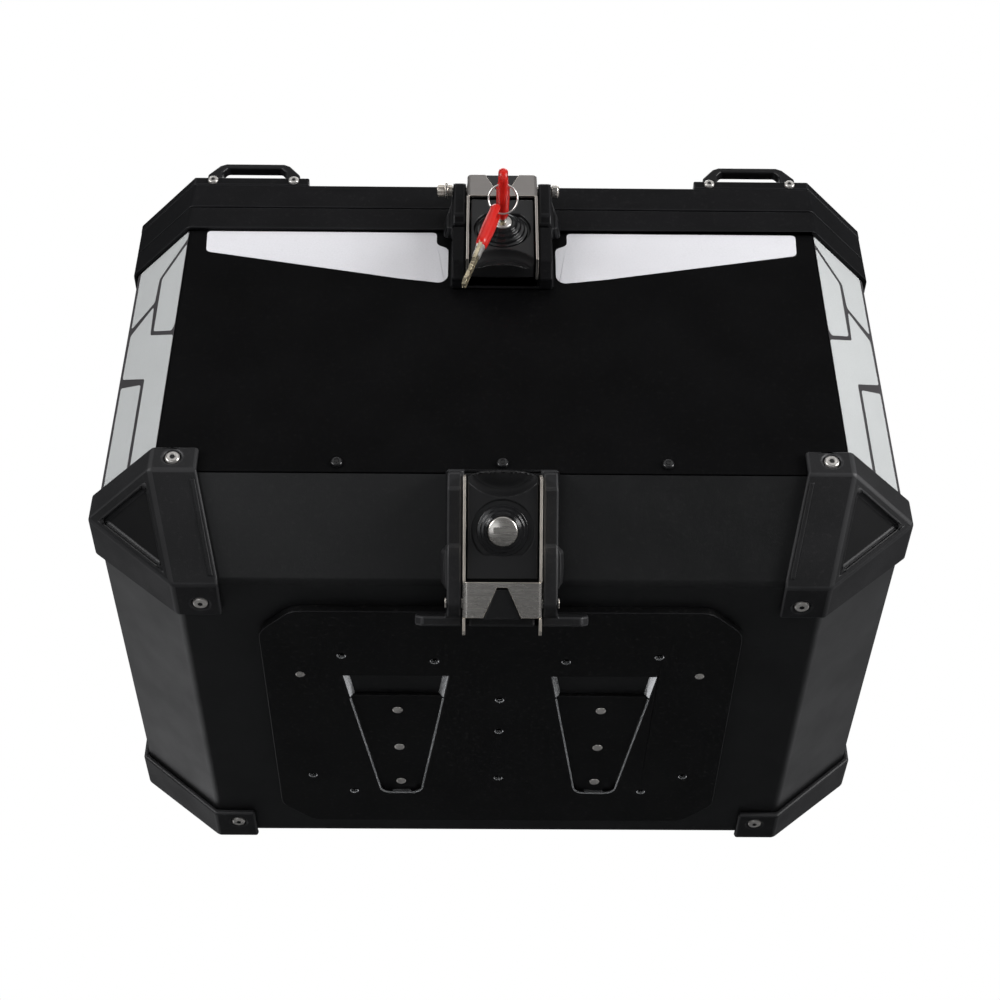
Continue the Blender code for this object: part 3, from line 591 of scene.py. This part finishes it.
def build_guard(sx, sy, label):
    """A corner protector: a recess in painted shade, a ridge round it, a lip along its sloped
    strap.
    """
    corner, centre, normal = guard_facet(sx, sy)

    # Painted shade: faces sunk in the recess take the darker recess finish
    def paint_recess_shade(piece):
        piece.data.materials.append(look["recess"])
        shallow, deep = RECESS_DEPTHS
        mouth = [centre + (point - centre) * RECESS_SHARE for point in corner]
        for face in piece.data.polygons:
            place = face.center / MM
            depth = (centre - place).dot(normal)
            turns = [
                (mouth[k] - mouth[k - 1]).cross(place - mouth[k - 1]).dot(normal) for k in range(3)
            ]
            inside = min(turns) > 0 or max(turns) < 0
            if shallow < depth < deep and inside:
                face.material_index = 2

    cad_node = f"corner_protector_{label}"
    refine(cad_node, 1.6, look["guard"], look["guard_edge"], 5, mark=paint_recess_shade)
    loops = []
    for share, rise in RIDGE:
        ends = [centre + (point - centre) * share + normal * rise for point in corner]
        loops.append(round_triangle(ends, 5.0))
    name = f"protector_ridge_{label}"
    ridge = finish_mesh(name, loft(loops, closed=True), "case", "black_plastic", look["guard"])
    soften(ridge, 0.7, 3)
    build_lip(sx, sy, label)


def build_lip(sx, sy, label):
    """The raised lip along the inner edge of a protector's sloped strap."""
    run = math.sqrt(0.5)
    out = Vector((0, sy * run, -run))
    face = Vector((0, sy * GUARD_THICK * run, -GUARD_THICK * run))
    top, foot = (Vector((sx * x, sy * y, z)) + face for x, y, z in (LIP_TOP, LIP_FOOT))
    top += (foot - top) * 0.05
    foot += (top - foot) * 0.06
    side = Vector((sx, 0, 0))
    loops = []
    for along in (0.0, 0.02, 0.98, 1.0):
        rise = 0.0 if along in (0.0, 1.0) else LIP_HIGH
        at = top.lerp(foot, along)
        loops.append(
            [
                at - side * 1.6 - out * 0.3,
                at - side * 1.1 + out * rise,
                at + side * 1.1 + out * rise,
                at + side * 1.6 - out * 0.3,
            ]
        )
    name = f"protector_lip_{label}"
    lip = finish_mesh(name, loft(loops), "case", "black_plastic", look["guard"])
    soften(lip, 0.5, 3)


def round_triangle(ends, radius, steps=5):
    """A triangle in space with its corners rounded, as a loop of points."""
    outline = []
    for i, here in enumerate(ends):
        back = here + (ends[i - 1] - here).normalized() * radius
        ahead = here + (ends[(i + 1) % 3] - here).normalized() * radius
        for k in range(steps + 1):
            t = k / steps
            outline.append(back * (1 - t) ** 2 + here * 2 * t * (1 - t) + ahead * t**2)
    return outline


# ---- films ----

# Outlines of the panels: x from the case's middle or from the corner face's front edge, then z
WHITE_PANEL = (
    (-186, 251.4),
    (-185, 232.6),
    (-63, 209.2),
    (-37.6, 205.5),
    (-33.5, 209.5),
    (-33.5, 236.7),
    (-41, 240.3),
    (-41, 251.4),
)
FILM_GROUND = ((0.5, 65.8), (54.6, 65.8), (54.6, 251.8), (0.5, 251.8))
SIDE_PANELS = (
    ((0.8, 251.5), (51.5, 251.5), (51.5, 200.5), (28.3, 207.5), (27.2, 228), (0.8, 244.5)),
    ((0.8, 240), (24, 225.5), (24, 178.8), (3.4, 164.5), (0.8, 167.5)),
    (
        (28.6, 203.6),
        (51, 194),
        (51.5, 156.5),
        (25.4, 139),
        (25.4, 66),
        (0.8, 66),
        (0.8, 159),
        (27.2, 177.6),
    ),
    ((51.5, 66), (51.5, 149), (28.8, 136.3), (28.8, 66)),
)


def build_films():
    """White panels beside the upper latch and silver panels on the corner faces."""
    face = front_frame(0)
    for sx, side in LEFT_RIGHT:
        outline = [(-sx * x, z) for x, z in WHITE_PANEL]
        shape = slab(rounded(outline, 3.0), 0.05, 0.3, at=face)
        finish_mesh(f"white_film_{side}", shape, "case", "white_film", look["white"])
    for sy, end in FRONT_REAR:
        for sx, side in LEFT_RIGHT:
            at = corner_face(sx, sy)
            back = slab(rounded(FILM_GROUND, 1), 0.05, 0.2, at=at)
            finish_mesh(f"film_ground_{end}_{side}", back, "case", "grey_film", look["line"])
            for i, panel in enumerate(SIDE_PANELS):
                shape = slab(rounded(panel, 2.0, steps=3), 0.15, 0.34, at=at)
                name = f"silver_film_{end}_{side}_{i + 1}"
                finish_mesh(name, shape, "case", "grey_film", look["grey"])


# ---- fasteners ----


def screw_head(name, base, axis, head_r, high, material, body, slot, replaces=None):
    """A low, nearly flat screw head whose socket is a small dark hexagon of painted shadow."""
    socket_r = head_r * 0.36
    profile = [
        (head_r, -0.6),
        (head_r, high * 0.45),
        (head_r * 0.93, high * 0.8),
        (head_r * 0.78, high * 0.97),
        (socket_r * 1.35, high),
        (socket_r * 1.15, high - 0.2),
    ]
    shape = turned(profile, base, axis, steps=32)
    head = finish_mesh(name, shape, body, slot, material, sharp=50)
    spin = Vector((0, 0, 1)).rotation_difference(Vector(axis)).to_matrix().to_4x4()
    at = Matrix.Translation(base) @ spin
    corners = [math.pi * k / 3 for k in range(6)]
    hexagon = [(socket_r * math.cos(a), socket_r * math.sin(a)) for a in corners]
    # Painted shadow: a near-black hexagon stands in for the shade inside the socket
    deep = slab(hexagon, high - 0.6, high - 0.08, at=at)
    finish_mesh(f"{name}_socket", deep, body, slot, look["socket"])
    if replaces:
        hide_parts(replaces)


def rivet(name, base, head_r, high):
    """A low domed rivet head on the case's underside."""
    dome = [(head_r * math.cos(a), high * math.sin(a)) for a in (0.0, 0.4, 0.8, 1.1, 1.35)]
    shape = turned([(head_r, -0.5), *dome], base, (0, 0, -1), steps=28)
    finish_mesh(name, shape, "case", "nickel_plate", look["nickel"], sharp=50)


def build_screws():
    """The screws of the protectors, the handles and the seam above the tray."""
    nickel = look["nickel"]
    wall_y = CASE_DEPTH / 2 + GUARD_THICK - 2
    upper_x, upper_z = GUARD_SCREW_UPPER
    lower_x, lower_y = GUARD_SCREW_LOWER
    for sy, end in FRONT_REAR:
        for sx, side in LEFT_RIGHT:
            spots = (
                ("upper", (sx * upper_x, sy * wall_y, upper_z), (0, sy, 0)),
                ("lower", (sx * lower_x, sy * lower_y, FLOOR_Z - GUARD_THICK + 2), (0, 0, -1)),
            )
            for level, base, axis in spots:
                cad = f"protector_screw_{end}_{side}_{level}"
                screw_head(f"{cad}_head", base, axis, 4.3, 2.3, nickel, "case", "nickel_plate", cad)
            for i, x in enumerate(HANDLE_SCREW_X):
                base = (sx * x, sy * CAP_FRONT_Y, HANDLE_SCREW_Z)
                name = f"handle_screw_{end}_{side}_{i + 1}"
                screw_head(name, base, (0, sy, 0), 3.3, 1.6, nickel, "lid", "nickel_plate")
    for i, x in enumerate(SEAM_SCREW_X):
        base = (x, -CASE_DEPTH / 2 - 0.3, SEAM_SCREW_Z)
        cad = f"seam_screw_{i + 1}"
        name = f"{cad}_head"
        screw_head(name, base, (0, -1, 0), 3.4, 1.8, look["gloss"], "case", "black_gloss", cad)


def build_plate():
    """The mounting plate with bare pocket edges, rivets through the pads and small screws."""

    def bare_edges(piece):
        piece.data.materials.append(look["bare"])
        for face in piece.data.polygons:
            x, y, _ = face.center / MM
            in_pocket = 25 < abs(x) < 103 and -51.5 < y < 84
            upright = abs(face.normal.z) < 0.97
            if in_pocket and upright and face.area > 12 * MM * MM:
                face.material_index = 2

    coat, edge = look["plate"], look["coat_edge"]
    refine("mounting_plate", 0.4, coat, edge, 2, mark=bare_edges, whole=False)
    screw_x, screw_y = PLATE_SCREW
    for sx, side in LEFT_RIGHT:
        refine(f"pocket_pad_{side}", 0.3, coat, edge, 2)
        for i, y in enumerate(PAD_RIVET_Y):
            rivet(f"pad_rivet_{side}_{i + 1}", (sx * POCKET_X, y, PAD_Z), 3.2, 1.1)
        rivet(f"plate_screw_{side}", (sx * screw_x, screw_y, 0.4), 2.9, 0.9)
        build_pocket_edge(sx, side)
    spots = [(sx * x, y) for x, y in SIDE_BUSHES for sx in (-1, 1)]
    bush = ((2.74, 0.25), (2.74, 2.4), (2.3, 2.4), (2.3, 0.6))
    for i, (x, y) in enumerate((*spots, *MIDDLE_BUSHES)):
        shape = turned(bush, (x, y, 0), (0, 0, 1), 20, closed=True)
        finish_mesh(f"plate_bush_{i + 1}", shape, "case", "nickel_plate", look["bare"])


def build_pocket_edge(sx, side):
    """The bare metal edge that runs down a pocket, round its blind end and back up."""
    mouth_x, mouth_y = POCKET_MOUTH
    blind_x, blind_y = POCKET_BLIND
    corners = [(mouth_x, mouth_y), (blind_x, blind_y), (-blind_x, blind_y), (-mouth_x, mouth_y)]
    path = rounded(corners, 7, steps=6)[7:-7]
    path = [corners[0], *path, corners[3]]
    loops = []
    for i, point in enumerate(path):
        before = Vector(path[max(i - 1, 0)])
        after = Vector(path[min(i + 1, len(path) - 1)])
        ahead = (after - before).normalized()
        out = Vector((-ahead.y, ahead.x))
        wide = 1.5 if point[1] > 76 else 1.0
        section = ((wide, -0.06), (wide * 0.5, -0.1), (-0.15, 0.15), (-0.3, 1.8), (wide, 0.5))
        middle = (sx * POCKET_X + point[0], point[1])
        loops.append([(middle[0] + out.x * o, middle[1] + out.y * o, z) for o, z in section])
    name = f"pocket_edge_{side}"
    finish_mesh(name, loft(loops), "case", "black_powder_coat", look["bare"])


# ---- latches ----


def across(outline, low, high, at=Matrix()):
    """A bmesh of an outline in a frame's y and z, swept along its x."""
    return loft([[(x, y, z) for y, z in outline] for x in (low, high)], at=at)


def lock_recess(label, at):
    """A round seat with one flat side, sunk in the lever round the lock."""
    turns = [2 * math.pi * k / 64 for k in range(64)]
    round_points = [(RECESS_R * math.cos(a), RECESS_R * math.sin(a)) for a in turns]
    outline = [(x, LOCK_U + min(u, RECESS_FLAT)) for x, u in round_points]
    return slab(outline, RECESS_H[label], CUT_REACH, at=at)


def build_lever(label, at, body):
    """The lever: an arched finger end with a dish in it, and a seat round the lock."""
    shares = [k / 10 for k in range(-10, 11)]
    arc = [(LEVER_HALF * share, LEVER_NOSE + 3.6 * abs(share) ** 3.2) for share in shares]
    outline = [(LEVER_HALF, LEVER_REAR), (-LEVER_HALF, LEVER_REAR), *arc]
    shape = slab(outline, 6, LEVER_TOP, at=at)
    name = f"{label}_latch_lever"
    lever = finish_mesh(f"{name}_shape", shape, None, None, look["lever"], look["gloss_edge"])
    undercut = [(-2, 4), (9, 4), (9, 6.2), (1, 12), (-2, 12)]
    carve(lever, across(undercut, -CUT_REACH, CUT_REACH, at))
    carve(lever, lever_dish(at))
    carve(lever, lock_recess(label, at))
    hole_r = LOCK_R[label] + 0.4
    carve(lever, turned([(hole_r, 0), (hole_r, 40)], (0, LOCK_U, 0), (0, 0, 1), at=at))
    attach(lever, body)
    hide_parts(name)
    shade_dish(lever, at)
    soften(lever, 0.7, 3, angle=50)


def shade_dish(lever, at):
    """Paints shade on the dish's steep wall by giving its faces the darker recess finish."""
    lever.data.materials.append(look["recess"])
    lie = at.inverted()
    for face in lever.data.polygons:
        place = lie @ (face.center / MM)
        reach = math.hypot(place.x, place.y - DISH_U)
        tilt = (lie.to_3x3() @ face.normal).z
        if DISH_WALL < reach < DISH_OUT and place.z > 12 and 0.05 < tilt < 0.985:
            face.material_index = 2


def lever_dish(at):
    """The finger dish: steep on the lock's side, then rising gently to the lever's nose."""
    steps = 14
    floor = []
    for k in range(steps + 1):
        share = k / steps
        depth = DISH_DEEP * math.sin(math.pi * share**2.1) ** 0.9 if 0 < k < steps else 0.0
        floor.append((DISH_IN + (DISH_OUT - DISH_IN) * share, LEVER_TOP + 0.02 - depth))
    ring = [*floor, (DISH_OUT, CUT_REACH), (DISH_IN, CUT_REACH)]
    return turned(ring, (0, DISH_U, 0), (0, 0, 1), 96, closed=True, at=at)


# Radius and height of each corner of the stepped rings
COLLAR_STEPS = {
    "upper": (
        (15.9, 19.3),
        (15.5, 20.8),
        (13.9, 21.1),
        (13.4, 22.7),
        (11.6, 23.1),
        (11.0, 24.9),
        (9.2, 25.4),
        (8.7, 26.8),
    ),
    "lower": (
        (14.6, 21.1),
        (14.2, 22.2),
        (12.5, 22.4),
        (12.0, 23.6),
        (10.6, 23.8),
        (10.1, 25.0),
    ),
}


def build_collar(label, at, body):
    """The stepped rings round the lock: a tall cone on the upper latch, a low one on the lower."""
    hole_r = LOCK_R[label] + 0.35
    steps = COLLAR_STEPS[label]
    last_r, last_h = steps[-1]
    inner = ((last_r - 0.9, last_h + 0.4), (hole_r + 0.4, last_h + 0.8), (hole_r, last_h + 0.6))
    ring = [(hole_r, RECESS_H[label] + 0.1), *steps, *inner]
    shape = turned(ring, (0, LOCK_U, 0), (0, 0, 1), closed=True, at=at)
    collar = finish_mesh(f"{label}_collar_rings", shape, body, "black_gloss", look["polished"])
    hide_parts(f"{label}_lock_collar")
    soften(collar, 0.25, 2)


def strap_section():
    """The cross plate's section: flat on top, bent down at both ends, and open below."""
    bend = [math.radians(15 * k) for k in range(7)]
    middle_x, middle_h = STRAP_HALF - STRAP_BEND, STRAP_TOP - STRAP_BEND

    def corner(radius, sign):
        return [
            (sign * (middle_x + radius * math.cos(a)), middle_h + radius * math.sin(a))
            for a in bend
        ]

    def side(half, radius):
        over = [*corner(radius, 1), *corner(radius, -1)[::-1]]
        return [(half, STRAP_FOOT), *over, (-half, STRAP_FOOT)]

    inside = side(STRAP_HALF - STRAP_THICK, STRAP_BEND - STRAP_THICK)
    return [*side(STRAP_HALF, STRAP_BEND), *inside[::-1]]


def build_bail(label, at, body):
    """The steel bail: flanges as in the CAD, and a cross plate bent down into them."""
    behind = {"upper": 86.0, "lower": 83.9}[label]
    steel = look[{"upper": "satin_steel", "lower": "steel"}[label]]
    flange = look[{"upper": "satin_steel", "lower": "steel_edge"}[label]]
    reach = CUT_REACH
    under = [(-reach, 63.3), (reach, 63.3), (reach, behind), (-reach, behind)]
    room = slab(under, 17.2, reach, at=at)
    refine(f"{label}_latch_bail", 0.3, flange, look["steel_edge"], 2, cutters=(room,))
    section = strap_section()
    loops = [[(x, u, h) for x, h in section] for u in (STRAP_LOW, STRAP_HIGH)]
    shape = loft(loops, at=at)
    strap = finish_mesh(f"{label}_cross_plate", shape, None, None, steel, look["steel_edge"])
    wide_u, narrow_u = STRAP_HIGH + 1, STRAP_LOW + 3
    notch = [(11, wide_u), (3, narrow_u), (-3, narrow_u), (-11, wide_u)]
    carve(strap, slab(notch, 10, CUT_REACH, at=at))
    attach(strap, body)
    soften(strap, 0.25, 2, edge=1)
    nose = slab([(-10.6, 84.6), (10.6, 84.6), (3.6, 67.8), (-3.6, 67.8)], 20.3, 22.8, at=at)
    gloss, edge = look["gloss"], look["gloss_edge"]
    filler = finish_mesh(f"{label}_lever_nose", nose, body, "black_gloss", gloss, edge)
    soften(filler, 0.6, 3, edge=1)


def build_lock(label, at, body):
    """The lock cylinder, with a keyway in the upper lock's face and a shutter on the lower's."""
    r = LOCK_R[label]
    profile = [(r - 1, 5.4), (r, 6.4), (r, 27.1), (r - 0.25, 27.6), (r - 0.9, 28.0)]
    shape = turned(profile, (0, LOCK_U, 0), (0, 0, 1), at=at)
    name = f"{label}_lock_cylinder"
    face = look["nickel" if label == "upper" else "steel"]
    piece = finish_mesh(f"{name}_face", shape, None, None, face, look["nickel"], sharp=40)
    if label == "upper":
        low, high = LOCK_U - 4.2, LOCK_U + 4.2
        way = [(-1.3, low), (1.3, low), (1.3, high), (-1.3, high)]
        carve(piece, slab(way, 6.4, 32, at=at))
    else:
        shutter = rounded([(-5.2, 32.6), (5.2, 32.6), (5.2, 36.2), (-5.2, 36.2)], 0.5, steps=3)
        plate = slab(shutter, 27.6, 28.04, at=at)
        finish_mesh("key_shutter", plate, body, "nickel_plate", look["steel"])
    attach(piece, body)
    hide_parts(name)
    refine(f"{label}_lock_cam", 0.3, look["steel"], look["steel_edge"], 2)


def build_pin_sleeves():
    """Two plain sleeves on the left end of the upper latch's pin."""
    end_sleeve = ((3.05, -40.4), (3.9, -40.4), (4.0, -39.9), (4.0, -36.3), (3.05, -36.3))
    inner_sleeve = ((3.05, -34.0), (3.8, -34.0), (3.8, -31.5), (3.05, -31.5))
    at = front_frame(UPPER_LATCH_Z)
    for name, profile in (("pin_end_sleeve", end_sleeve), ("pin_inner_sleeve", inner_sleeve)):
        shape = turned(profile, (0, PIN_U, PIN_H), (1, 0, 0), 32, closed=True, at=at)
        finish_mesh(name, shape, "lid", "stainless_steel", look["steel_edge"])


def build_latches():
    for label, at in (("upper", front_frame(UPPER_LATCH_Z)), ("lower", slope_frame())):
        build_lever(label, at, f"{label}_latch")
        build_collar(label, at, f"{label}_latch")
        build_bail(label, at, f"{label}_latch")
        build_lock(label, at, f"{label}_lock")
    refine("upper_latch_base", 1.2, look["trim"], look["trim"], 4)
    refine("latch_hinge_bracket", 1.5, look["trim"], look["trim_edge"], 4)
    refine("lower_latch_base", 1.3, look["guard"], look["guard_edge"], 4)
    for name in ("upper_latch_pin", "latch_pin_clip", "lower_latch_pin"):
        refine(name, 0.3, look["steel"], look["steel_edge"], 2)
    build_pin_sleeves()


def build_hinges():
    for side in ("left", "right"):
        refine(f"hinge_body_leaf_{side}", 0.4, look["lid"], look["coat_edge"], 2)
        refine(f"hinge_lid_leaf_{side}", 0.4, look["lid"], look["coat_edge"], 2)
        refine(f"hinge_pin_{side}", 0.3, look["steel"], look["steel_edge"], 2)


# ---- keys ----


def key_grip(name, at, body):
    """A dipped key head: a long capsule, slightly flat, with a hole for the ring."""
    loops = []
    steps = 24
    for k in range(steps + 1):
        along = GRIP_LONG * (1 - math.cos(math.pi * k / steps)) / 2
        end = min(along, GRIP_LONG - along)
        swell = math.sqrt(max(0.0, 1 - max(0.0, 1 - end / GRIP_END) ** 2)) + 0.05
        taper = 0.86 + 0.14 * min(1.0, along / (GRIP_LONG * 0.45))
        rx, ry = GRIP_RX * swell * taper, GRIP_RY * swell * taper
        turns = [2 * math.pi * i / 28 for i in range(28)]
        loops.append([(rx * math.cos(a), ry * math.sin(a), along) for a in turns])
    grip = finish_mesh(f"{name}_capsule", loft(loops, at=at), None, None, look["red"])
    near, far = (GRIP_LONG - reach for reach in GRIP_HOLE)
    half = GRIP_HOLE_HALF
    hole = [(-half, far), (half, far), (half, near), (-half, near)]
    carve(grip, across(rounded(hole, 2.8), -10, 10, at))
    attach(grip, body)
    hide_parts(f"{name}_grip")
    soften(grip, 0.35, 2, angle=40)


def key_blade(name, at, body, long):
    """A key blade with cuts along both edges, a milled groove and a round neck."""
    cuts = (0.0, 1.1, 0.5, 1.5, 0.7, 1.3, 0.3)
    pitch = (long - 9) / (len(cuts) + 1)
    right = []
    for i, deep in enumerate(cuts):
        end = -long + 3 + pitch * i
        right += [(3.4 - deep, end), (3.4 - deep, end + pitch * 0.35)]
    left = [(-y * 0.98, z) for y, z in right[::-1]]
    root = [(3.5, -5), (3.5, 4), (-3.5, 4), (-3.5, -5)]
    outline = [(1.6, -long), *right, *root, *left, (-1.6, -long)]
    shape = across(outline, -BLADE_HALF, BLADE_HALF, at)
    blade = finish_mesh(f"{name}_blade", shape, None, None, look["brass"])
    for side in (-1, 1):
        groove = [(0.4, -long - 1), (1.4, -long - 1), (1.4, -6), (0.4, -6)]
        carve(blade, across(groove, side * 0.6, side * 3, at))
    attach(blade, body)
    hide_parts(name)
    soften(blade, 0.12, 2)
    profile = [(1.9, -8.6), (2.5, -8.0), (2.5, -1.2), (2.9, -0.6), (2.9, 1.2)]
    neck = turned(profile, (0, 0, 0), (0, 0, 1), 28, at=at)
    finish_mesh(f"{name}_neck", neck, body, "nickel_plate", look["nickel"])


def build_ring(hole):
    """A split ring of round wire, two turns side by side; gives the place where a key hangs."""
    rise = Vector((0, -math.cos(RING_LEAN), math.sin(RING_LEAN)))
    centre = hole - rise * RING_R
    normal = Vector((1, 0, 0)).cross(rise)
    wire = [2 * math.pi * k / 10 for k in range(10)]
    steps = 104
    loops = []
    for i in range(steps + 1):
        turn = 4 * math.pi * i / steps
        out = Vector((1, 0, 0)) * math.sin(turn) + rise * math.cos(turn)
        middle = centre + out * RING_R + normal * (i / steps - 0.5) * 1.15
        loops.append(
            [middle + (out * math.cos(a) + normal * math.sin(a)) * RING_WIRE for a in wire]
        )
    piece = finish_mesh("split_ring", loft(loops), "key_ring", "nickel_plate", look["nickel"])
    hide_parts("key_ring")
    aside = Vector((-1, 0, 0)) * math.sin(RING_TURN) - rise * math.cos(RING_TURN)
    return centre + aside * RING_R


def build_keys():
    face = Vector((0, -CASE_DEPTH / 2 - GRIP_START, UPPER_LATCH_Z + LOCK_U))
    in_lock = Matrix.Translation(face) @ Matrix.Rotation(math.pi / 2, 4, "X")
    key_grip("key_in_lock", in_lock, "upper_lock")
    key_blade("key_in_lock", in_lock, "upper_lock", 23.0)
    hang = build_ring(face - Vector((0, GRIP_LONG - 11.0, 0)))
    second = Matrix.Translation(hang) @ Matrix.Rotation(SECOND_LEAN, 4, "Y")
    second @= Matrix.Translation((0, 0, 4.2 - GRIP_LONG))
    key_grip("second_key", second, "second_key")
    key_blade("second_key", second, "second_key", 34.0)


# ---- studio ----


def make_camera():
    """The scene's camera, aimed by its pitch, yaw and roll."""
    pitch, yaw = CAMERA_PITCH, CAMERA_YAW
    ahead = Vector(
        (math.sin(yaw) * math.cos(pitch), math.cos(yaw) * math.cos(pitch), math.sin(pitch))
    )
    right = Vector((math.cos(yaw), -math.sin(yaw), 0))
    up = right.cross(ahead)
    turn = Matrix((right, up, -ahead)).transposed() @ Matrix.Rotation(CAMERA_ROLL, 3, "Z")
    data = bpy.data.cameras.new("camera")
    data.sensor_width = 36.0
    data.lens = CAMERA_LENS
    data.clip_end = 50.0
    camera = bpy.data.objects.new("camera", data)
    camera.matrix_world = Matrix.Translation(CAMERA_AT) @ turn.to_4x4()
    bpy.context.scene.collection.objects.link(camera)
    bpy.context.scene.camera = camera


def softbox(name, place, size, power, colour):
    """A rectangular area light turned to the case, out of the camera's sight."""
    data = bpy.data.lights.new(name, "AREA")
    data.shape = "RECTANGLE"
    data.size, data.size_y = size
    data.energy = power
    data.color = colour
    light = bpy.data.objects.new(name, data)
    toward = Vector(LIGHT_AIM) - Vector(place)
    light.matrix_world = (
        Matrix.Translation(place) @ toward.to_track_quat("-Z", "Y").to_matrix().to_4x4()
    )
    light.visible_camera = False
    bpy.context.scene.collection.objects.link(light)


def make_world():
    """A white surround to look at, and a much dimmer grey one to light with."""
    world = bpy.data.worlds.new("studio")
    world.use_nodes = True
    tree = world.node_tree
    tree.nodes.clear()
    seen = node(tree, "ShaderNodeBackground", Color=(1, 1, 1, 1), Strength=1.0)
    lit = node(tree, "ShaderNodeBackground", Color=(0.93, 0.96, 1.0, 1), Strength=0.06)
    path = tree.nodes.new("ShaderNodeLightPath")
    mix = tree.nodes.new("ShaderNodeMixShader")
    out = tree.nodes.new("ShaderNodeOutputWorld")
    tree.links.new(path.outputs["Is Camera Ray"], mix.inputs[0])
    tree.links.new(lit.outputs[0], mix.inputs[1])
    tree.links.new(seen.outputs[0], mix.inputs[2])
    tree.links.new(mix.outputs[0], out.inputs["Surface"])
    bpy.context.scene.world = world


def floor_finish():
    """A pale matt floor, with a wash of light on it that only the camera sees."""
    made = surface("pale_floor", (0.82, 0.82, 0.82), 0.7, vary=0.02, patch=1.5)
    tree = made.node_tree
    out = tree.nodes["Material Output"]
    shaded = out.inputs["Surface"].links[0].from_socket
    wash = node(tree, "ShaderNodeEmission", Color=(1, 1, 1, 1), Strength=FLOOR_WASH)
    path = tree.nodes.new("ShaderNodeLightPath")
    both = tree.nodes.new("ShaderNodeAddShader")
    mix = tree.nodes.new("ShaderNodeMixShader")
    tree.links.new(shaded, both.inputs[0])
    tree.links.new(wash.outputs[0], both.inputs[1])
    tree.links.new(path.outputs["Is Camera Ray"], mix.inputs[0])
    tree.links.new(shaded, mix.inputs[1])
    tree.links.new(both.outputs[0], mix.inputs[2])
    tree.links.new(mix.outputs[0], out.inputs["Surface"])
    return made


def make_studio():
    make_world()
    bpy.context.scene.view_settings.view_transform = "Standard"
    floor = bmesh.new()
    bmesh.ops.create_grid(floor, x_segments=1, y_segments=1, size=FLOOR_REACH)
    bmesh.ops.translate(floor, verts=floor.verts, vec=(0, 0, FLOOR_LEVEL))
    ground = finish_mesh("floor", floor, None, None, floor_finish())
    ground.visible_glossy = False
    for name, place, size, power, colour in LIGHTS:
        softbox(name, place, size, power, colour)


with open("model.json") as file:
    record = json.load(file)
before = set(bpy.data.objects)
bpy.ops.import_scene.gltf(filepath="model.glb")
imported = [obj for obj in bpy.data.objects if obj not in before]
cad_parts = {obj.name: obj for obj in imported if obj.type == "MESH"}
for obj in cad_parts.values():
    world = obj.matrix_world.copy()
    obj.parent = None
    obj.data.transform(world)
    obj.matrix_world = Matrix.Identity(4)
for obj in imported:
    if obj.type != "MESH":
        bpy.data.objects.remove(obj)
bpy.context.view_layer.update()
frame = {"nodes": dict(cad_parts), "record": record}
look = make_materials()
build_shells()
build_films()
build_screws()
build_plate()
build_latches()
build_hinges()
build_keys()
make_camera()
make_studio()
